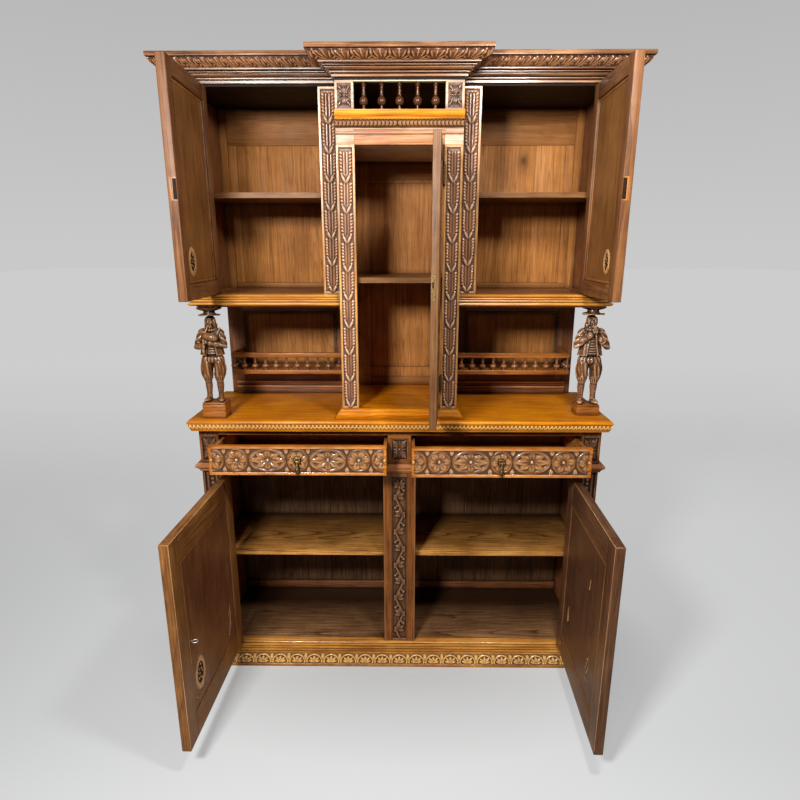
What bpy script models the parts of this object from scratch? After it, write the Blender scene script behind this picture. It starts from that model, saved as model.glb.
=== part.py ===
"""A two-part carved oak buffet with a breakfront upper stage, in metres, with +Z up.

The lower stage is a cupboard with two doors under two drawers. The upper stage is a tall middle
cupboard, the tower, between two hanging cupboards that carved figures hold up at their outer
corners. The origin is on the floor, under the middle of the plinth's front board. The doors and
drawers stand open, as they are drawn, and each moving piece has its origin on its joint's axis.
"""

import math

import bmesh
import bpy
from mathutils import Matrix
from mathutils import Vector

# Clearances
GAP = 0.0003
DOOR_GAP = 0.0015
DRAWER_GAP = 0.0015

# Lower stage
BASE_HALF_WIDTH = 0.743
BASE_FRONT_Y = 0.025
BACK_Y = 0.476
BACK_THICK = 0.015
BACK_BOARDS = 9
PLINTH_HEIGHT = 0.097
PLINTH_PROJECTION = 0.040
PLINTH_WALL = 0.020
PLINTH_LEDGE = 0.022
FLOOR_THICK = 0.022
BASE_OPENING_HEIGHT = 0.723
POST_WIDTH = 0.071
POST_DEPTH = 0.048
SIDE_THICK = 0.018
SIDE_RECESS = 0.005
STILE_HALF_WIDTH = 0.062
STILE_DEPTH = 0.040
STRIP_HALF_WIDTH = 0.030
CARVED_SINK = 0.003
WAIST_RAIL_HEIGHT = 0.042
WAIST_PROJECTION = 0.019
DRAWER_OPENING_HEIGHT = 0.108
TOP_RAIL_HEIGHT = 0.025
RAIL_DEPTH = 0.050
BLOCK_HALF_WIDTH = 0.043
BLOCK_PROUD = 0.002
DUST_BOARD_THICK = 0.016
GUIDE_HALF_WIDTH = 0.018
GUIDE_HEIGHT = 0.030
SHELF_THICK = 0.018
BASE_SHELF_HEIGHT = 0.376
BASE_SHELF_FRONT = 0.052
COUNTER_THICK = 0.041
COUNTER_FRONT_OVERHANG = 0.052
COUNTER_SIDE_OVERHANG = 0.024

# Drawers
DRAWER_FRONT_THICK = 0.022
DRAWER_BORDER = 0.009
DRAWER_FIELD_SINK = 0.004
DRAWER_DEPTH = 0.400
DRAWER_WALL = 0.012
DRAWER_FLOOR = 0.008
DRAWER_BOX_DROP = 0.020
DRAWER_OUT_LEFT = 0.140
DRAWER_OUT_RIGHT = 0.156
PULL_LENGTH = 0.048
PULL_RADIUS = 0.0075
PULL_PIN_RADIUS = 0.0022
PULL_PIN_HALF = 0.006
LUG_THICK = 0.004
LUG_REACH = 0.013
LUG_HEIGHT = 0.011

# Upper stage
NICHE_HEIGHT = 0.395
CUPBOARD_SETBACK = 0.021
CUPBOARD_FRONT_Y = 0.108
CUPBOARD_FLOOR_THICK = 0.044
CUPBOARD_FLOOR_FRONT = 0.070
CUPBOARD_FLOOR_SIDE = 0.023
CUPBOARD_OPENING_HEIGHT = 0.666
CUPBOARD_STILE = 0.050
CUPBOARD_STRIP = 0.064
FRONT_FRAME_DEPTH = 0.022
CUPBOARD_SHELF_HEIGHT = 0.325
CUPBOARD_SHELF_FRONT = 0.036
CEILING_THICK = 0.017
TOWER_HALF_WIDTH = 0.207
TOWER_FRONT_Y = 0.023
TOWER_SIDE_THICK = 0.020
PILASTER_WIDTH = 0.060
TOWER_PLINTH_HEIGHT = 0.036
TOWER_PLINTH_OVERHANG = 0.022
TOWER_OPENING_HEIGHT = 0.881
TOWER_SHELF_HEIGHT = 0.443
TOWER_SHELF_FRONT = 0.032
FRIEZE_OPENING_HEIGHT = 0.080
FRIEZE_TOP_RAIL = 0.004
TORUS_HEIGHT = 0.027
TORUS_PROJECTION = 0.012
OGEE_HEIGHT = 0.027
OGEE_PROJECTION = 0.018
MOULDING_OVERHANG = 0.003
FRIEZE_SPINDLES = 5
FRIEZE_SPINDLE_PITCH = 0.057
FRIEZE_SPINDLE_RADIUS = 0.009
CORNICE_HEIGHT = 0.076
CORNICE_PROJECTION = 0.083
CORNICE_DROP = 0.008
TOP_BOARD_THICK = 0.017

# Galleries in the niches
GALLERY_HEIGHT = 0.112
GALLERY_DEPTH = 0.176
GALLERY_END_INSET = 0.049
GALLERY_SHELF_THICK = 0.018
GALLERY_RAIL_HEIGHT = 0.020
GALLERY_RAIL_DEPTH = 0.016
GALLERY_SPINDLE_HEIGHT = 0.048
GALLERY_SPINDLE_RADIUS = 0.0065
GALLERY_SPINDLE_PITCH = 0.042

# Doors
BASE_DOOR_THICK = 0.030
CUPBOARD_DOOR_THICK = 0.028
TOWER_DOOR_THICK = 0.024
DOOR_STILE = 0.075
TOWER_DOOR_STILE = 0.050
PANEL_TONGUE = 0.008
PANEL_TONGUE_THICK = 0.009
PANEL_BEVEL = 0.028
PANEL_BEVEL_DROP = 0.006
BASE_LEFT_OPEN = 91.6
BASE_RIGHT_OPEN = 88.4
CUPBOARD_LEFT_OPEN = 88.8
CUPBOARD_RIGHT_OPEN = 89.3
TOWER_OPEN = 86.0
HINGE_RADIUS = 0.005
HINGE_LENGTH = 0.062
HINGE_INSET = 0.090

# Figures
LEFT_FIGURE_INSET = 0.047
LEFT_FIGURE_Y = 0.052
LEFT_BLOCK_HEIGHT = 0.057
RIGHT_FIGURE_INSET = 0.023
RIGHT_FIGURE_Y = 0.110
RIGHT_BLOCK_HEIGHT = 0.039
BLOCK_WIDTH = 0.083
BLOCK_DEPTH = 0.078
CAP_RADIUS = 0.044
CAP_THICK = 0.010

# Levels and planes that follow from the sizes above
FLOOR_TOP = PLINTH_HEIGHT
DOOR_HEAD = FLOOR_TOP + BASE_OPENING_HEIGHT
DRAWER_LOW = DOOR_HEAD + WAIST_RAIL_HEIGHT
DRAWER_HIGH = DRAWER_LOW + DRAWER_OPENING_HEIGHT
COUNTER_LOW = DRAWER_HIGH + TOP_RAIL_HEIGHT
COUNTER_TOP = COUNTER_LOW + COUNTER_THICK
CUPBOARD_FLOOR_LOW = COUNTER_TOP + NICHE_HEIGHT
CUPBOARD_FLOOR_TOP = CUPBOARD_FLOOR_LOW + CUPBOARD_FLOOR_THICK
CEILING_LOW = CUPBOARD_FLOOR_TOP + CUPBOARD_OPENING_HEIGHT
CEILING_TOP = CEILING_LOW + CEILING_THICK
CORNICE_LOW = CEILING_LOW + CORNICE_DROP
TOWER_FLOOR_TOP = COUNTER_TOP + TOWER_PLINTH_HEIGHT
TOWER_HEAD_LOW = TOWER_FLOOR_TOP + TOWER_OPENING_HEIGHT
BACK_FACE_Y = BACK_Y - BACK_THICK
OPENING_EDGE_X = BASE_HALF_WIDTH - POST_WIDTH
CUPBOARD_HALF_WIDTH = BASE_HALF_WIDTH - CUPBOARD_SETBACK
CUPBOARD_EDGE_X = CUPBOARD_HALF_WIDTH - CUPBOARD_STILE
STRIP_EDGE_X = TOWER_HALF_WIDTH + GAP + CUPBOARD_STRIP
TOWER_EDGE_X = TOWER_HALF_WIDTH - PILASTER_WIDTH
GALLERY_END_X = CUPBOARD_HALF_WIDTH - GALLERY_END_INSET
LEFT_FIGURE_X = -CUPBOARD_HALF_WIDTH + LEFT_FIGURE_INSET
RIGHT_FIGURE_X = CUPBOARD_HALF_WIDTH - RIGHT_FIGURE_INSET

# Finishes: colour, roughness and metallic value
FINISHES = {
    "honey_oak": ((0.42, 0.20, 0.06), 0.35, 0.0),
    "brown_oak": ((0.20, 0.09, 0.035), 0.45, 0.0),
    "carved_oak": ((0.13, 0.06, 0.03), 0.40, 0.0),
    "inner_oak": ((0.16, 0.075, 0.03), 0.60, 0.0),
    "old_brass": ((0.30, 0.20, 0.09), 0.45, 1.0),
}

for old in list(bpy.data.objects):
    bpy.data.objects.remove(old, do_unlink=True)

parts = bpy.data.collections.new("carved_buffet")
helpers = bpy.data.collections.new("cutters")
bpy.context.scene.collection.children.link(parts)
bpy.context.scene.collection.children.link(helpers)


def finish_material(name, finish):
    """The part's own material, in one of the finishes above."""
    colour, roughness, metallic = FINISHES[finish]
    material = bpy.data.materials.new(name)
    material.use_nodes = True
    shader = material.node_tree.nodes["Principled BSDF"]
    shader.inputs["Base Color"].default_value = (*colour, 1.0)
    shader.inputs["Roughness"].default_value = roughness
    shader.inputs["Metallic"].default_value = metallic
    return material


def object_from(name, shape, collection):
    """Turns a bmesh into an object in a collection, with its faces pointing out."""
    mesh = bpy.data.meshes.new(name)
    bmesh.ops.recalc_face_normals(shape, faces=shape.faces)
    shape.to_mesh(mesh)
    shape.free()
    made = bpy.data.objects.new(name, mesh)
    collection.objects.link(made)
    return made


def part(name, shape, finish, carrier=None):
    """One named piece of the buffet. A moving piece is drawn about its carrier, an empty on its joint."""
    made = object_from(name, shape, parts)
    made.data.materials.append(finish_material(name, finish))
    made.parent = carrier
    return made


def helper(name, shape):
    """A shape that is only cut from a part or joined to one."""
    made = object_from(name, shape, helpers)
    made.hide_render = True
    made.display_type = "WIRE"
    return made


def boolean(made, tool, operation):
    """Cuts the tool from a part or joins it on. The tool follows the part's carrier."""
    tool.parent = made.parent
    modifier = made.modifiers.new(tool.name, "BOOLEAN")
    modifier.operation = operation
    modifier.solver = "EXACT"
    modifier.object = tool


def add_block(shape, low, high):
    """Adds a box between two corners."""
    low = Vector(low)
    high = Vector(high)
    size = Matrix.Diagonal((*(high - low), 1.0))
    bmesh.ops.create_cube(shape, size=1.0, matrix=Matrix.Translation((low + high) / 2) @ size)


def block(low, high):
    shape = bmesh.new()
    add_block(shape, low, high)
    return shape


def loft(rings):
    """A closed solid skinned over rings with equal counts of points, capped at both ends."""
    shape = bmesh.new()
    rows = [[shape.verts.new(point) for point in ring] for ring in rings]
    count = len(rows[0])
    for near, far in zip(rows, rows[1:]):
        for i in range(count):
            j = (i + 1) % count
            shape.faces.new((near[i], near[j], far[j], far[i]))
    shape.faces.new(rows[0])
    shape.faces.new(tuple(reversed(rows[-1])))
    return shape


def moulded_board(low, high, profile, open_sides, end_scale=1.0):
    """A flat board whose edge is moulded on the open sides. The profile lists (inset, height)."""
    rings = []
    for inset, height in profile:
        left = low[0] + inset * end_scale * ("left" in open_sides)
        right = high[0] - inset * end_scale * ("right" in open_sides)
        front = low[1] + inset * ("front" in open_sides)
        z = low[2] + height
        rings.append([(left, front, z), (right, front, z), (right, high[1], z), (left, high[1], z)])
    return loft(rings)


def mitred_moulding(path, profile):
    """A moulding along straight runs with mitred corners. The profile lists (offset outwards, height)."""
    runs = [(Vector(b) - Vector(a)).normalized() for a, b in zip(path, path[1:])]
    normals = [Vector((run.y, -run.x)) for run in runs]
    rings = []
    for i, point in enumerate(path):
        before = normals[max(i - 1, 0)]
        after = normals[min(i, len(normals) - 1)]
        mitre = (before + after) / (1 + before.dot(after))
        rings.append([(point[0] + o * mitre.x, point[1] + o * mitre.y, z) for o, z in profile])
    return loft(rings)


def outline_solid(loops, low, high, upright):
    """Flat outlines, the later ones holes, given a thickness. Upright ones stand in X and Z."""
    curve = bpy.data.curves.new("outline", "CURVE")
    curve.dimensions = "2D"
    curve.fill_mode = "BOTH"
    curve.extrude = (high - low) / 2
    for loop in loops:
        spline = curve.splines.new("POLY")
        spline.points.add(len(loop) - 1)
        for point, (u, v) in zip(spline.points, loop):
            point.co = (u, v, 0.0, 1.0)
        spline.use_cyclic_u = True
    drawn = bpy.data.objects.new("outline", curve)
    helpers.objects.link(drawn)
    bpy.context.view_layer.update()
    mesh = bpy.data.meshes.new_from_object(drawn.evaluated_get(bpy.context.evaluated_depsgraph_get()))
    bpy.data.objects.remove(drawn)
    shape = bmesh.new()
    shape.from_mesh(mesh)
    bpy.data.meshes.remove(mesh)
    bmesh.ops.remove_doubles(shape, verts=shape.verts, dist=0.00001)
    middle = (low + high) / 2
    if upright:
        turn = Matrix.Translation((0, middle, 0)) @ Matrix.Rotation(math.radians(90), 4, "X")
    else:
        turn = Matrix.Translation((0, 0, middle))
    bmesh.ops.transform(shape, matrix=turn, verts=shape.verts)
    return shape


def rectangle(u0, u1, v0, v1):
    return [(u0, v0), (u1, v0), (u1, v1), (u0, v1)]


def turned_mesh(profile, steps):
    """A turned piece about Z. The profile runs down the outer side, from axis to axis."""
    mesh = bpy.data.meshes.new("turned")
    edges = [(i, i + 1) for i in range(len(profile) - 1)]
    mesh.from_pydata([(r, 0.0, z) for r, z in profile], edges, [])
    drawn = bpy.data.objects.new("turned", mesh)
    helpers.objects.link(drawn)
    screw = drawn.modifiers.new("Screw", "SCREW")
    screw.steps = steps
    screw.render_steps = steps
    screw.use_merge_vertices = True
    screw.merge_threshold = 0.0001
    bpy.context.view_layer.update()
    made = bpy.data.meshes.new_from_object(drawn.evaluated_get(bpy.context.evaluated_depsgraph_get()))
    bpy.data.objects.remove(drawn)
    return made


def add_mesh(shape, mesh, place):
    """Adds a copy of a mesh at a place."""
    known = set(shape.verts)
    shape.from_mesh(mesh)
    added = [vert for vert in shape.verts if vert not in known]
    bmesh.ops.transform(shape, matrix=Matrix.Translation(place), verts=added)


def sides():
    """The two hands of a paired piece: its name and the sign of its X."""
    return (("left", -1), ("right", 1))


def ordered(a, b):
    return (min(a, b), max(a, b))


def hand_block(sign, x_near, x_far, y, z):
    """A box given by its distances from the middle plane."""
    x0, x1 = ordered(sign * x_near, sign * x_far)
    return block((x0, y[0], z[0]), (x1, y[1], z[1]))


def build_plinth():
    """The moulded plinth frame, open at the back, with a ledge inside that the floor lies on."""
    path = [
        (-BASE_HALF_WIDTH, BACK_FACE_Y - GAP),
        (-BASE_HALF_WIDTH, BASE_FRONT_Y),
        (BASE_HALF_WIDTH, BASE_FRONT_Y),
        (BASE_HALF_WIDTH, BACK_FACE_Y - GAP),
    ]
    out = PLINTH_PROJECTION
    top = PLINTH_HEIGHT
    ledge_z = PLINTH_HEIGHT - FLOOR_THICK - GAP
    profile = [
        (out, 0.0),
        (out, top * 0.12),
        (out * 0.87, top * 0.15),
        (out * 0.83, top * 0.60),
        (out * 0.95, top * 0.64),
        (out * 0.95, top * 0.71),
        (out * 0.62, top * 0.77),
        (out * 0.50, top * 0.82),
        (out * 0.50, top * 0.87),
        (out * 0.24, top * 0.94),
        (out * 0.10, top),
        (-PLINTH_WALL, top),
        (-PLINTH_WALL, ledge_z),
        (-PLINTH_WALL - PLINTH_LEDGE, ledge_z),
        (-PLINTH_WALL - PLINTH_LEDGE, 0.0),
    ]
    part("plinth", mitred_moulding(path, profile), "honey_oak")


def build_base_case():
    """Floor, back boards, sides, corner posts, middle stile, shelf and top of the lower stage."""
    inner = BASE_HALF_WIDTH - PLINTH_WALL - GAP
    front = BASE_FRONT_Y + PLINTH_WALL + GAP
    low = (-inner, front, PLINTH_HEIGHT - FLOOR_THICK)
    part("base_floor", block(low, (inner, BACK_FACE_Y - GAP, FLOOR_TOP)), "inner_oak")
    back_low = (-BASE_HALF_WIDTH, BACK_FACE_Y, 0.0)
    back = part("base_back", block(back_low, (BASE_HALF_WIDTH, BACK_Y, COUNTER_LOW - GAP)), "inner_oak")
    joints = bmesh.new()
    deep = BACK_THICK / 4
    for i in range(1, BACK_BOARDS):
        x = -BASE_HALF_WIDTH + i * BASE_HALF_WIDTH * 2 / BACK_BOARDS
        add_block(joints, (x - deep / 2, BACK_FACE_Y - deep, -1.0), (x + deep / 2, BACK_FACE_Y + deep, 2.0))
    boolean(back, helper("back_board_joints", joints), "DIFFERENCE")
    for hand, sign in sides():
        post_z = (FLOOR_TOP + GAP, COUNTER_LOW - GAP)
        y = (BASE_FRONT_Y + POST_DEPTH + GAP, BACK_FACE_Y - GAP)
        shape = hand_block(sign, BASE_HALF_WIDTH - SIDE_THICK, BASE_HALF_WIDTH, y, post_z)
        side = part(f"base_side_{hand}", shape, "brown_oak")
        for row, (z0, z1) in enumerate(((FLOOR_TOP, DOOR_HEAD), (DRAWER_LOW, COUNTER_LOW))):
            rim = min(DOOR_STILE, (z1 - z0) / 4)
            sunk_y = (y[0] + DOOR_STILE, y[1] - DOOR_STILE)
            sunk_z = (z0 + rim, z1 - rim)
            far = BASE_HALF_WIDTH + SIDE_RECESS
            sunk = hand_block(sign, BASE_HALF_WIDTH - SIDE_RECESS, far, sunk_y, sunk_z)
            boolean(side, helper(f"base_side_{hand}_recess_{row}", sunk), "DIFFERENCE")
        y = (BASE_FRONT_Y, BASE_FRONT_Y + POST_DEPTH)
        shape = hand_block(sign, OPENING_EDGE_X, BASE_HALF_WIDTH, y, post_z)
        post = part(f"corner_post_{hand}", shape, "carved_oak")
        rim = POST_WIDTH / 6
        for row, (z0, z1) in enumerate(((FLOOR_TOP, DOOR_HEAD), (DRAWER_LOW, COUNTER_LOW))):
            sunk_y = (BASE_FRONT_Y - CARVED_SINK, BASE_FRONT_Y + CARVED_SINK)
            sunk_z = (z0 + rim, z1 - rim)
            sunk = hand_block(sign, OPENING_EDGE_X + rim, BASE_HALF_WIDTH - rim, sunk_y, sunk_z)
            boolean(post, helper(f"corner_post_{hand}_field_{row}", sunk), "DIFFERENCE")
    low = (-STILE_HALF_WIDTH, BASE_FRONT_Y, FLOOR_TOP + GAP)
    high = (STILE_HALF_WIDTH, BASE_FRONT_Y + STILE_DEPTH, DOOR_HEAD - GAP)
    stile = part("centre_stile", block(low, high), "brown_oak")
    rim = STILE_HALF_WIDTH - STRIP_HALF_WIDTH
    low = (-STRIP_HALF_WIDTH, BASE_FRONT_Y - CARVED_SINK, FLOOR_TOP + rim)
    high = (STRIP_HALF_WIDTH, BASE_FRONT_Y + CARVED_SINK, DOOR_HEAD - rim)
    boolean(stile, helper("centre_stile_field", block(low, high)), "DIFFERENCE")
    shelf_z = FLOOR_TOP + BASE_SHELF_HEIGHT
    inner = BASE_HALF_WIDTH - SIDE_THICK - GAP
    low = (-inner, BASE_FRONT_Y + BASE_SHELF_FRONT, shelf_z - SHELF_THICK)
    part("base_shelf", block(low, (inner, BACK_FACE_Y - GAP, shelf_z)), "inner_oak")
    edge = COUNTER_THICK
    profile = [
        (0.45 * edge, GAP),
        (0.45 * edge, 0.14 * edge),
        (0.25 * edge, 0.24 * edge),
        (0.0, 0.34 * edge),
        (0.0, 0.62 * edge),
        (0.08 * edge, 0.72 * edge),
        (0.22 * edge, 0.80 * edge),
        (0.22 * edge, 0.92 * edge),
        (0.30 * edge, edge),
    ]
    half = BASE_HALF_WIDTH + COUNTER_SIDE_OVERHANG
    low = (-half, BASE_FRONT_Y - COUNTER_FRONT_OVERHANG, COUNTER_LOW)
    top = moulded_board(low, (half, BACK_Y, COUNTER_TOP), profile, ("left", "right", "front"))
    part("countertop", top, "honey_oak")


def build_drawer_frame():
    """Waist rail, middle block and top rail in one frame, with the dust board and the drawers' guide."""
    half = OPENING_EDGE_X - GAP
    rail_back = BASE_FRONT_Y + RAIL_DEPTH
    rail = block((-half, BASE_FRONT_Y, DOOR_HEAD), (half, rail_back, DRAWER_LOW))
    frame = part("drawer_frame", rail, "brown_oak")
    low = (-BLOCK_HALF_WIDTH, BASE_FRONT_Y - BLOCK_PROUD, DRAWER_LOW)
    high = (BLOCK_HALF_WIDTH, rail_back - BLOCK_PROUD, DRAWER_HIGH + TOP_RAIL_HEIGHT / 4)
    boolean(frame, helper("middle_block", block(low, high)), "UNION")
    top_rail = block((-half, BASE_FRONT_Y, DRAWER_HIGH), (half, rail_back, COUNTER_LOW - GAP))
    boolean(frame, helper("top_rail", top_rail), "UNION")
    behind = BASE_FRONT_Y + RAIL_DEPTH / 2
    dust = half - GUIDE_HALF_WIDTH / 4
    low = (-dust, behind, DRAWER_LOW - DUST_BOARD_THICK)
    boolean(frame, helper("dust_board", block(low, (dust, BACK_FACE_Y - GAP, DRAWER_LOW - GAP))), "UNION")
    low = (-GUIDE_HALF_WIDTH, behind, DRAWER_LOW - DUST_BOARD_THICK / 2)
    high = (GUIDE_HALF_WIDTH, BACK_FACE_Y - 2 * GAP, DRAWER_LOW + GUIDE_HEIGHT)
    boolean(frame, helper("drawer_guide", block(low, high)), "UNION")
    rim = BLOCK_HALF_WIDTH / 4
    sunk = BASE_FRONT_Y - BLOCK_PROUD + CARVED_SINK
    low = (-BLOCK_HALF_WIDTH + rim, BASE_FRONT_Y - 2 * BLOCK_PROUD, DRAWER_LOW + rim)
    high = (BLOCK_HALF_WIDTH - rim, sunk, DRAWER_HIGH - rim)
    boolean(frame, helper("block_field", block(low, high)), "DIFFERENCE")
    path = [
        (-BASE_HALF_WIDTH - GAP, BACK_Y),
        (-BASE_HALF_WIDTH - GAP, BASE_FRONT_Y - GAP),
        (BASE_HALF_WIDTH + GAP, BASE_FRONT_Y - GAP),
        (BASE_HALF_WIDTH + GAP, BACK_Y),
    ]
    out = WAIST_PROJECTION
    low = DOOR_HEAD + WAIST_RAIL_HEIGHT * 0.25
    tall = DRAWER_LOW - low - GAP
    profile = [
        (0.0, low),
        (out * 0.3, low),
        (out * 0.4, low + tall * 0.25),
        (out * 0.8, low + tall * 0.45),
        (out, low + tall * 0.55),
        (out, low + tall * 0.80),
        (out * 0.6, low + tall),
        (0.0, low + tall),
    ]
    part("waist_moulding", mitred_moulding(path, profile), "honey_oak")


def build_drawer(hand, sign, pulled_out):
    """One drawer: its carved front, its box of thin boards and its drop pull, which hangs on a lug."""
    carrier = bpy.data.objects.new(f"drawer_{hand}_slide", None)
    carrier.location = (0.0, -pulled_out, 0.0)
    parts.objects.link(carrier)
    x_near = BLOCK_HALF_WIDTH + DRAWER_GAP
    x_far = OPENING_EDGE_X - DRAWER_GAP
    y = (BASE_FRONT_Y, BASE_FRONT_Y + DRAWER_FRONT_THICK)
    z = (DRAWER_LOW + GAP, DRAWER_HIGH - DRAWER_GAP)
    front = part(f"drawer_{hand}_front", hand_block(sign, x_near, x_far, y, z), "carved_oak", carrier)
    sunk_y = (BASE_FRONT_Y - DRAWER_FIELD_SINK, BASE_FRONT_Y + DRAWER_FIELD_SINK)
    sunk_z = (z[0] + DRAWER_BORDER, z[1] - DRAWER_BORDER)
    sunk = hand_block(sign, x_near + DRAWER_BORDER, x_far - DRAWER_BORDER, sunk_y, sunk_z)
    boolean(front, helper(f"drawer_{hand}_field", sunk), "DIFFERENCE")
    middle_x = sign * (x_near + x_far) / 2
    middle_z = (z[0] + z[1]) / 2
    pin_y = BASE_FRONT_Y - LUG_REACH + LUG_THICK
    lugs = bmesh.new()
    for ear in (-1, 1):
        near = middle_x + ear * (PULL_PIN_HALF + GAP)
        x0, x1 = ordered(near, near + ear * LUG_THICK)
        low = (x0, BASE_FRONT_Y - LUG_REACH, middle_z - LUG_HEIGHT / 2)
        high = (x1, BASE_FRONT_Y + DRAWER_FRONT_THICK / 2, middle_z + LUG_HEIGHT / 2)
        add_block(lugs, low, high)
    boolean(front, helper(f"drawer_{hand}_lugs", lugs), "UNION")
    box_y = (y[1] + GAP, BASE_FRONT_Y + DRAWER_DEPTH)
    box_z = (z[0], z[1] - DRAWER_BOX_DROP)
    shape = hand_block(sign, x_near, x_far, box_y, box_z)
    tray = part(f"drawer_{hand}_box", shape, "inner_oak", carrier)
    hollow_y = (box_y[0] - DRAWER_WALL, box_y[1] - DRAWER_WALL)
    hollow_z = (box_z[0] + DRAWER_FLOOR, box_z[1] + DRAWER_WALL)
    hollow = hand_block(sign, x_near + DRAWER_WALL, x_far - DRAWER_WALL, hollow_y, hollow_z)
    boolean(tray, helper(f"drawer_{hand}_hollow", hollow), "DIFFERENCE")
    swing = bpy.data.objects.new(f"drawer_{hand}_pull_pivot", None)
    swing.location = (middle_x, pin_y, middle_z)
    swing.parent = carrier
    parts.objects.link(swing)
    radius = PULL_RADIUS
    drop = [
        (0.0, PULL_PIN_RADIUS * 0.6),
        (PULL_PIN_RADIUS, 0.0),
        (PULL_PIN_RADIUS, -PULL_LENGTH * 0.30),
        (radius * 0.55, -PULL_LENGTH * 0.42),
        (radius, -PULL_LENGTH * 0.66),
        (radius * 0.85, -PULL_LENGTH * 0.86),
        (radius * 0.40, -PULL_LENGTH * 0.97),
        (0.0, -PULL_LENGTH),
    ]
    shape = bmesh.new()
    add_mesh(shape, turned_mesh(drop, 10), (0.0, 0.0, 0.0))
    pull = part(f"drawer_{hand}_pull", shape, "old_brass", swing)
    pin = bmesh.new()
    lie = Matrix.Rotation(math.radians(90), 4, "Y")
    bmesh.ops.create_cone(
        pin,
        cap_ends=True,
        segments=10,
        radius1=PULL_PIN_RADIUS * 1.2,
        radius2=PULL_PIN_RADIUS * 1.2,
        depth=2 * PULL_PIN_HALF,
        matrix=lie,
    )
    boolean(pull, helper(f"drawer_{hand}_pin", pin), "UNION")


def build_door(name, sign, axis_x, front_y, span, width, thick, stile, opened, finish):
    """A framed door with a fielded panel held in a groove, and the two barrels that it turns on.

    The door hangs on a carrier at its hinge axis, on the side of the sign, and stands open.
    """
    axis_y = front_y - HINGE_RADIUS - GAP
    carrier = bpy.data.objects.new(f"{name}_hinge_axis", None)
    carrier.location = (axis_x, axis_y, 0.0)
    carrier.rotation_euler = (0.0, 0.0, sign * math.radians(opened))
    parts.objects.link(carrier)
    face = HINGE_RADIUS + GAP
    x0, x1 = ordered(-sign * DOOR_GAP, -sign * (width - DOOR_GAP))
    z0 = span[0] + DOOR_GAP
    z1 = span[1] - DOOR_GAP
    inner = (x0 + stile, x1 - stile, z0 + stile, z1 - stile)
    loops = [rectangle(x0, x1, z0, z1), rectangle(*inner)]
    frame = part(f"{name}_frame", outline_solid(loops, face, face + thick, True), finish, carrier)
    middle = face + thick / 2
    tongue = PANEL_TONGUE_THICK / 2
    low = (inner[0] - PANEL_TONGUE, middle - tongue, inner[2] - PANEL_TONGUE)
    high = (inner[1] + PANEL_TONGUE, middle + tongue, inner[3] + PANEL_TONGUE)
    boolean(frame, helper(f"{name}_groove", block(low, high)), "DIFFERENCE")
    levels = [
        (GAP + PANEL_BEVEL, face + GAP),
        (GAP, face + PANEL_BEVEL_DROP),
        (GAP, middle - tongue + GAP),
        (GAP - PANEL_TONGUE, middle - tongue + GAP),
        (GAP - PANEL_TONGUE, middle + tongue - GAP),
        (GAP, middle + tongue - GAP),
        (GAP, face + thick),
    ]
    rings = []
    for inset, y in levels:
        corners = rectangle(inner[0] + inset, inner[1] - inset, inner[2] + inset, inner[3] - inset)
        rings.append([(x, y, z) for x, z in corners])
    part(f"{name}_panel", loft(rings), finish, carrier)
    barrel = [
        (0.0, HINGE_LENGTH * 0.62),
        (HINGE_RADIUS * 0.5, HINGE_LENGTH * 0.60),
        (HINGE_RADIUS * 0.7, HINGE_LENGTH * 0.54),
        (HINGE_RADIUS * 0.4, HINGE_LENGTH * 0.50),
        (HINGE_RADIUS, HINGE_LENGTH * 0.47),
        (HINGE_RADIUS, -HINGE_LENGTH * 0.47),
        (HINGE_RADIUS * 0.4, -HINGE_LENGTH * 0.50),
        (HINGE_RADIUS * 0.7, -HINGE_LENGTH * 0.54),
        (HINGE_RADIUS * 0.5, -HINGE_LENGTH * 0.60),
        (0.0, -HINGE_LENGTH * 0.62),
    ]
    turned = turned_mesh(barrel, 8)
    for place, z in (("lower", z0 + HINGE_INSET), ("upper", z1 - HINGE_INSET)):
        shape = bmesh.new()
        add_mesh(shape, turned, (0.0, 0.0, 0.0))
        hinge = part(f"{name}_hinge_{place}", shape, "old_brass")
        hinge.location = (axis_x, axis_y, z)


def build_doors():
    """All five doors, at the angles at which they stand open."""
    lower = (FLOOR_TOP, DOOR_HEAD)
    upper = (CUPBOARD_FLOOR_TOP, CEILING_LOW)
    base = (OPENING_EDGE_X - STILE_HALF_WIDTH, BASE_DOOR_THICK, DOOR_STILE)
    hung = (CUPBOARD_EDGE_X - STRIP_EDGE_X, CUPBOARD_DOOR_THICK, DOOR_STILE)
    build_door("base_door_left", -1, -OPENING_EDGE_X, BASE_FRONT_Y, lower, *base, BASE_LEFT_OPEN, "brown_oak")
    build_door("base_door_right", 1, OPENING_EDGE_X, BASE_FRONT_Y, lower, *base, BASE_RIGHT_OPEN, "brown_oak")
    edge = CUPBOARD_EDGE_X
    front = CUPBOARD_FRONT_Y
    build_door("upper_door_left", -1, -edge, front, upper, *hung, CUPBOARD_LEFT_OPEN, "brown_oak")
    build_door("upper_door_right", 1, edge, front, upper, *hung, CUPBOARD_RIGHT_OPEN, "brown_oak")
    tall = (TOWER_FLOOR_TOP, TOWER_HEAD_LOW)
    slim = (2 * TOWER_EDGE_X, TOWER_DOOR_THICK, TOWER_DOOR_STILE)
    build_door("tower_door", 1, TOWER_EDGE_X, TOWER_FRONT_Y, tall, *slim, TOWER_OPEN, "brown_oak")


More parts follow.
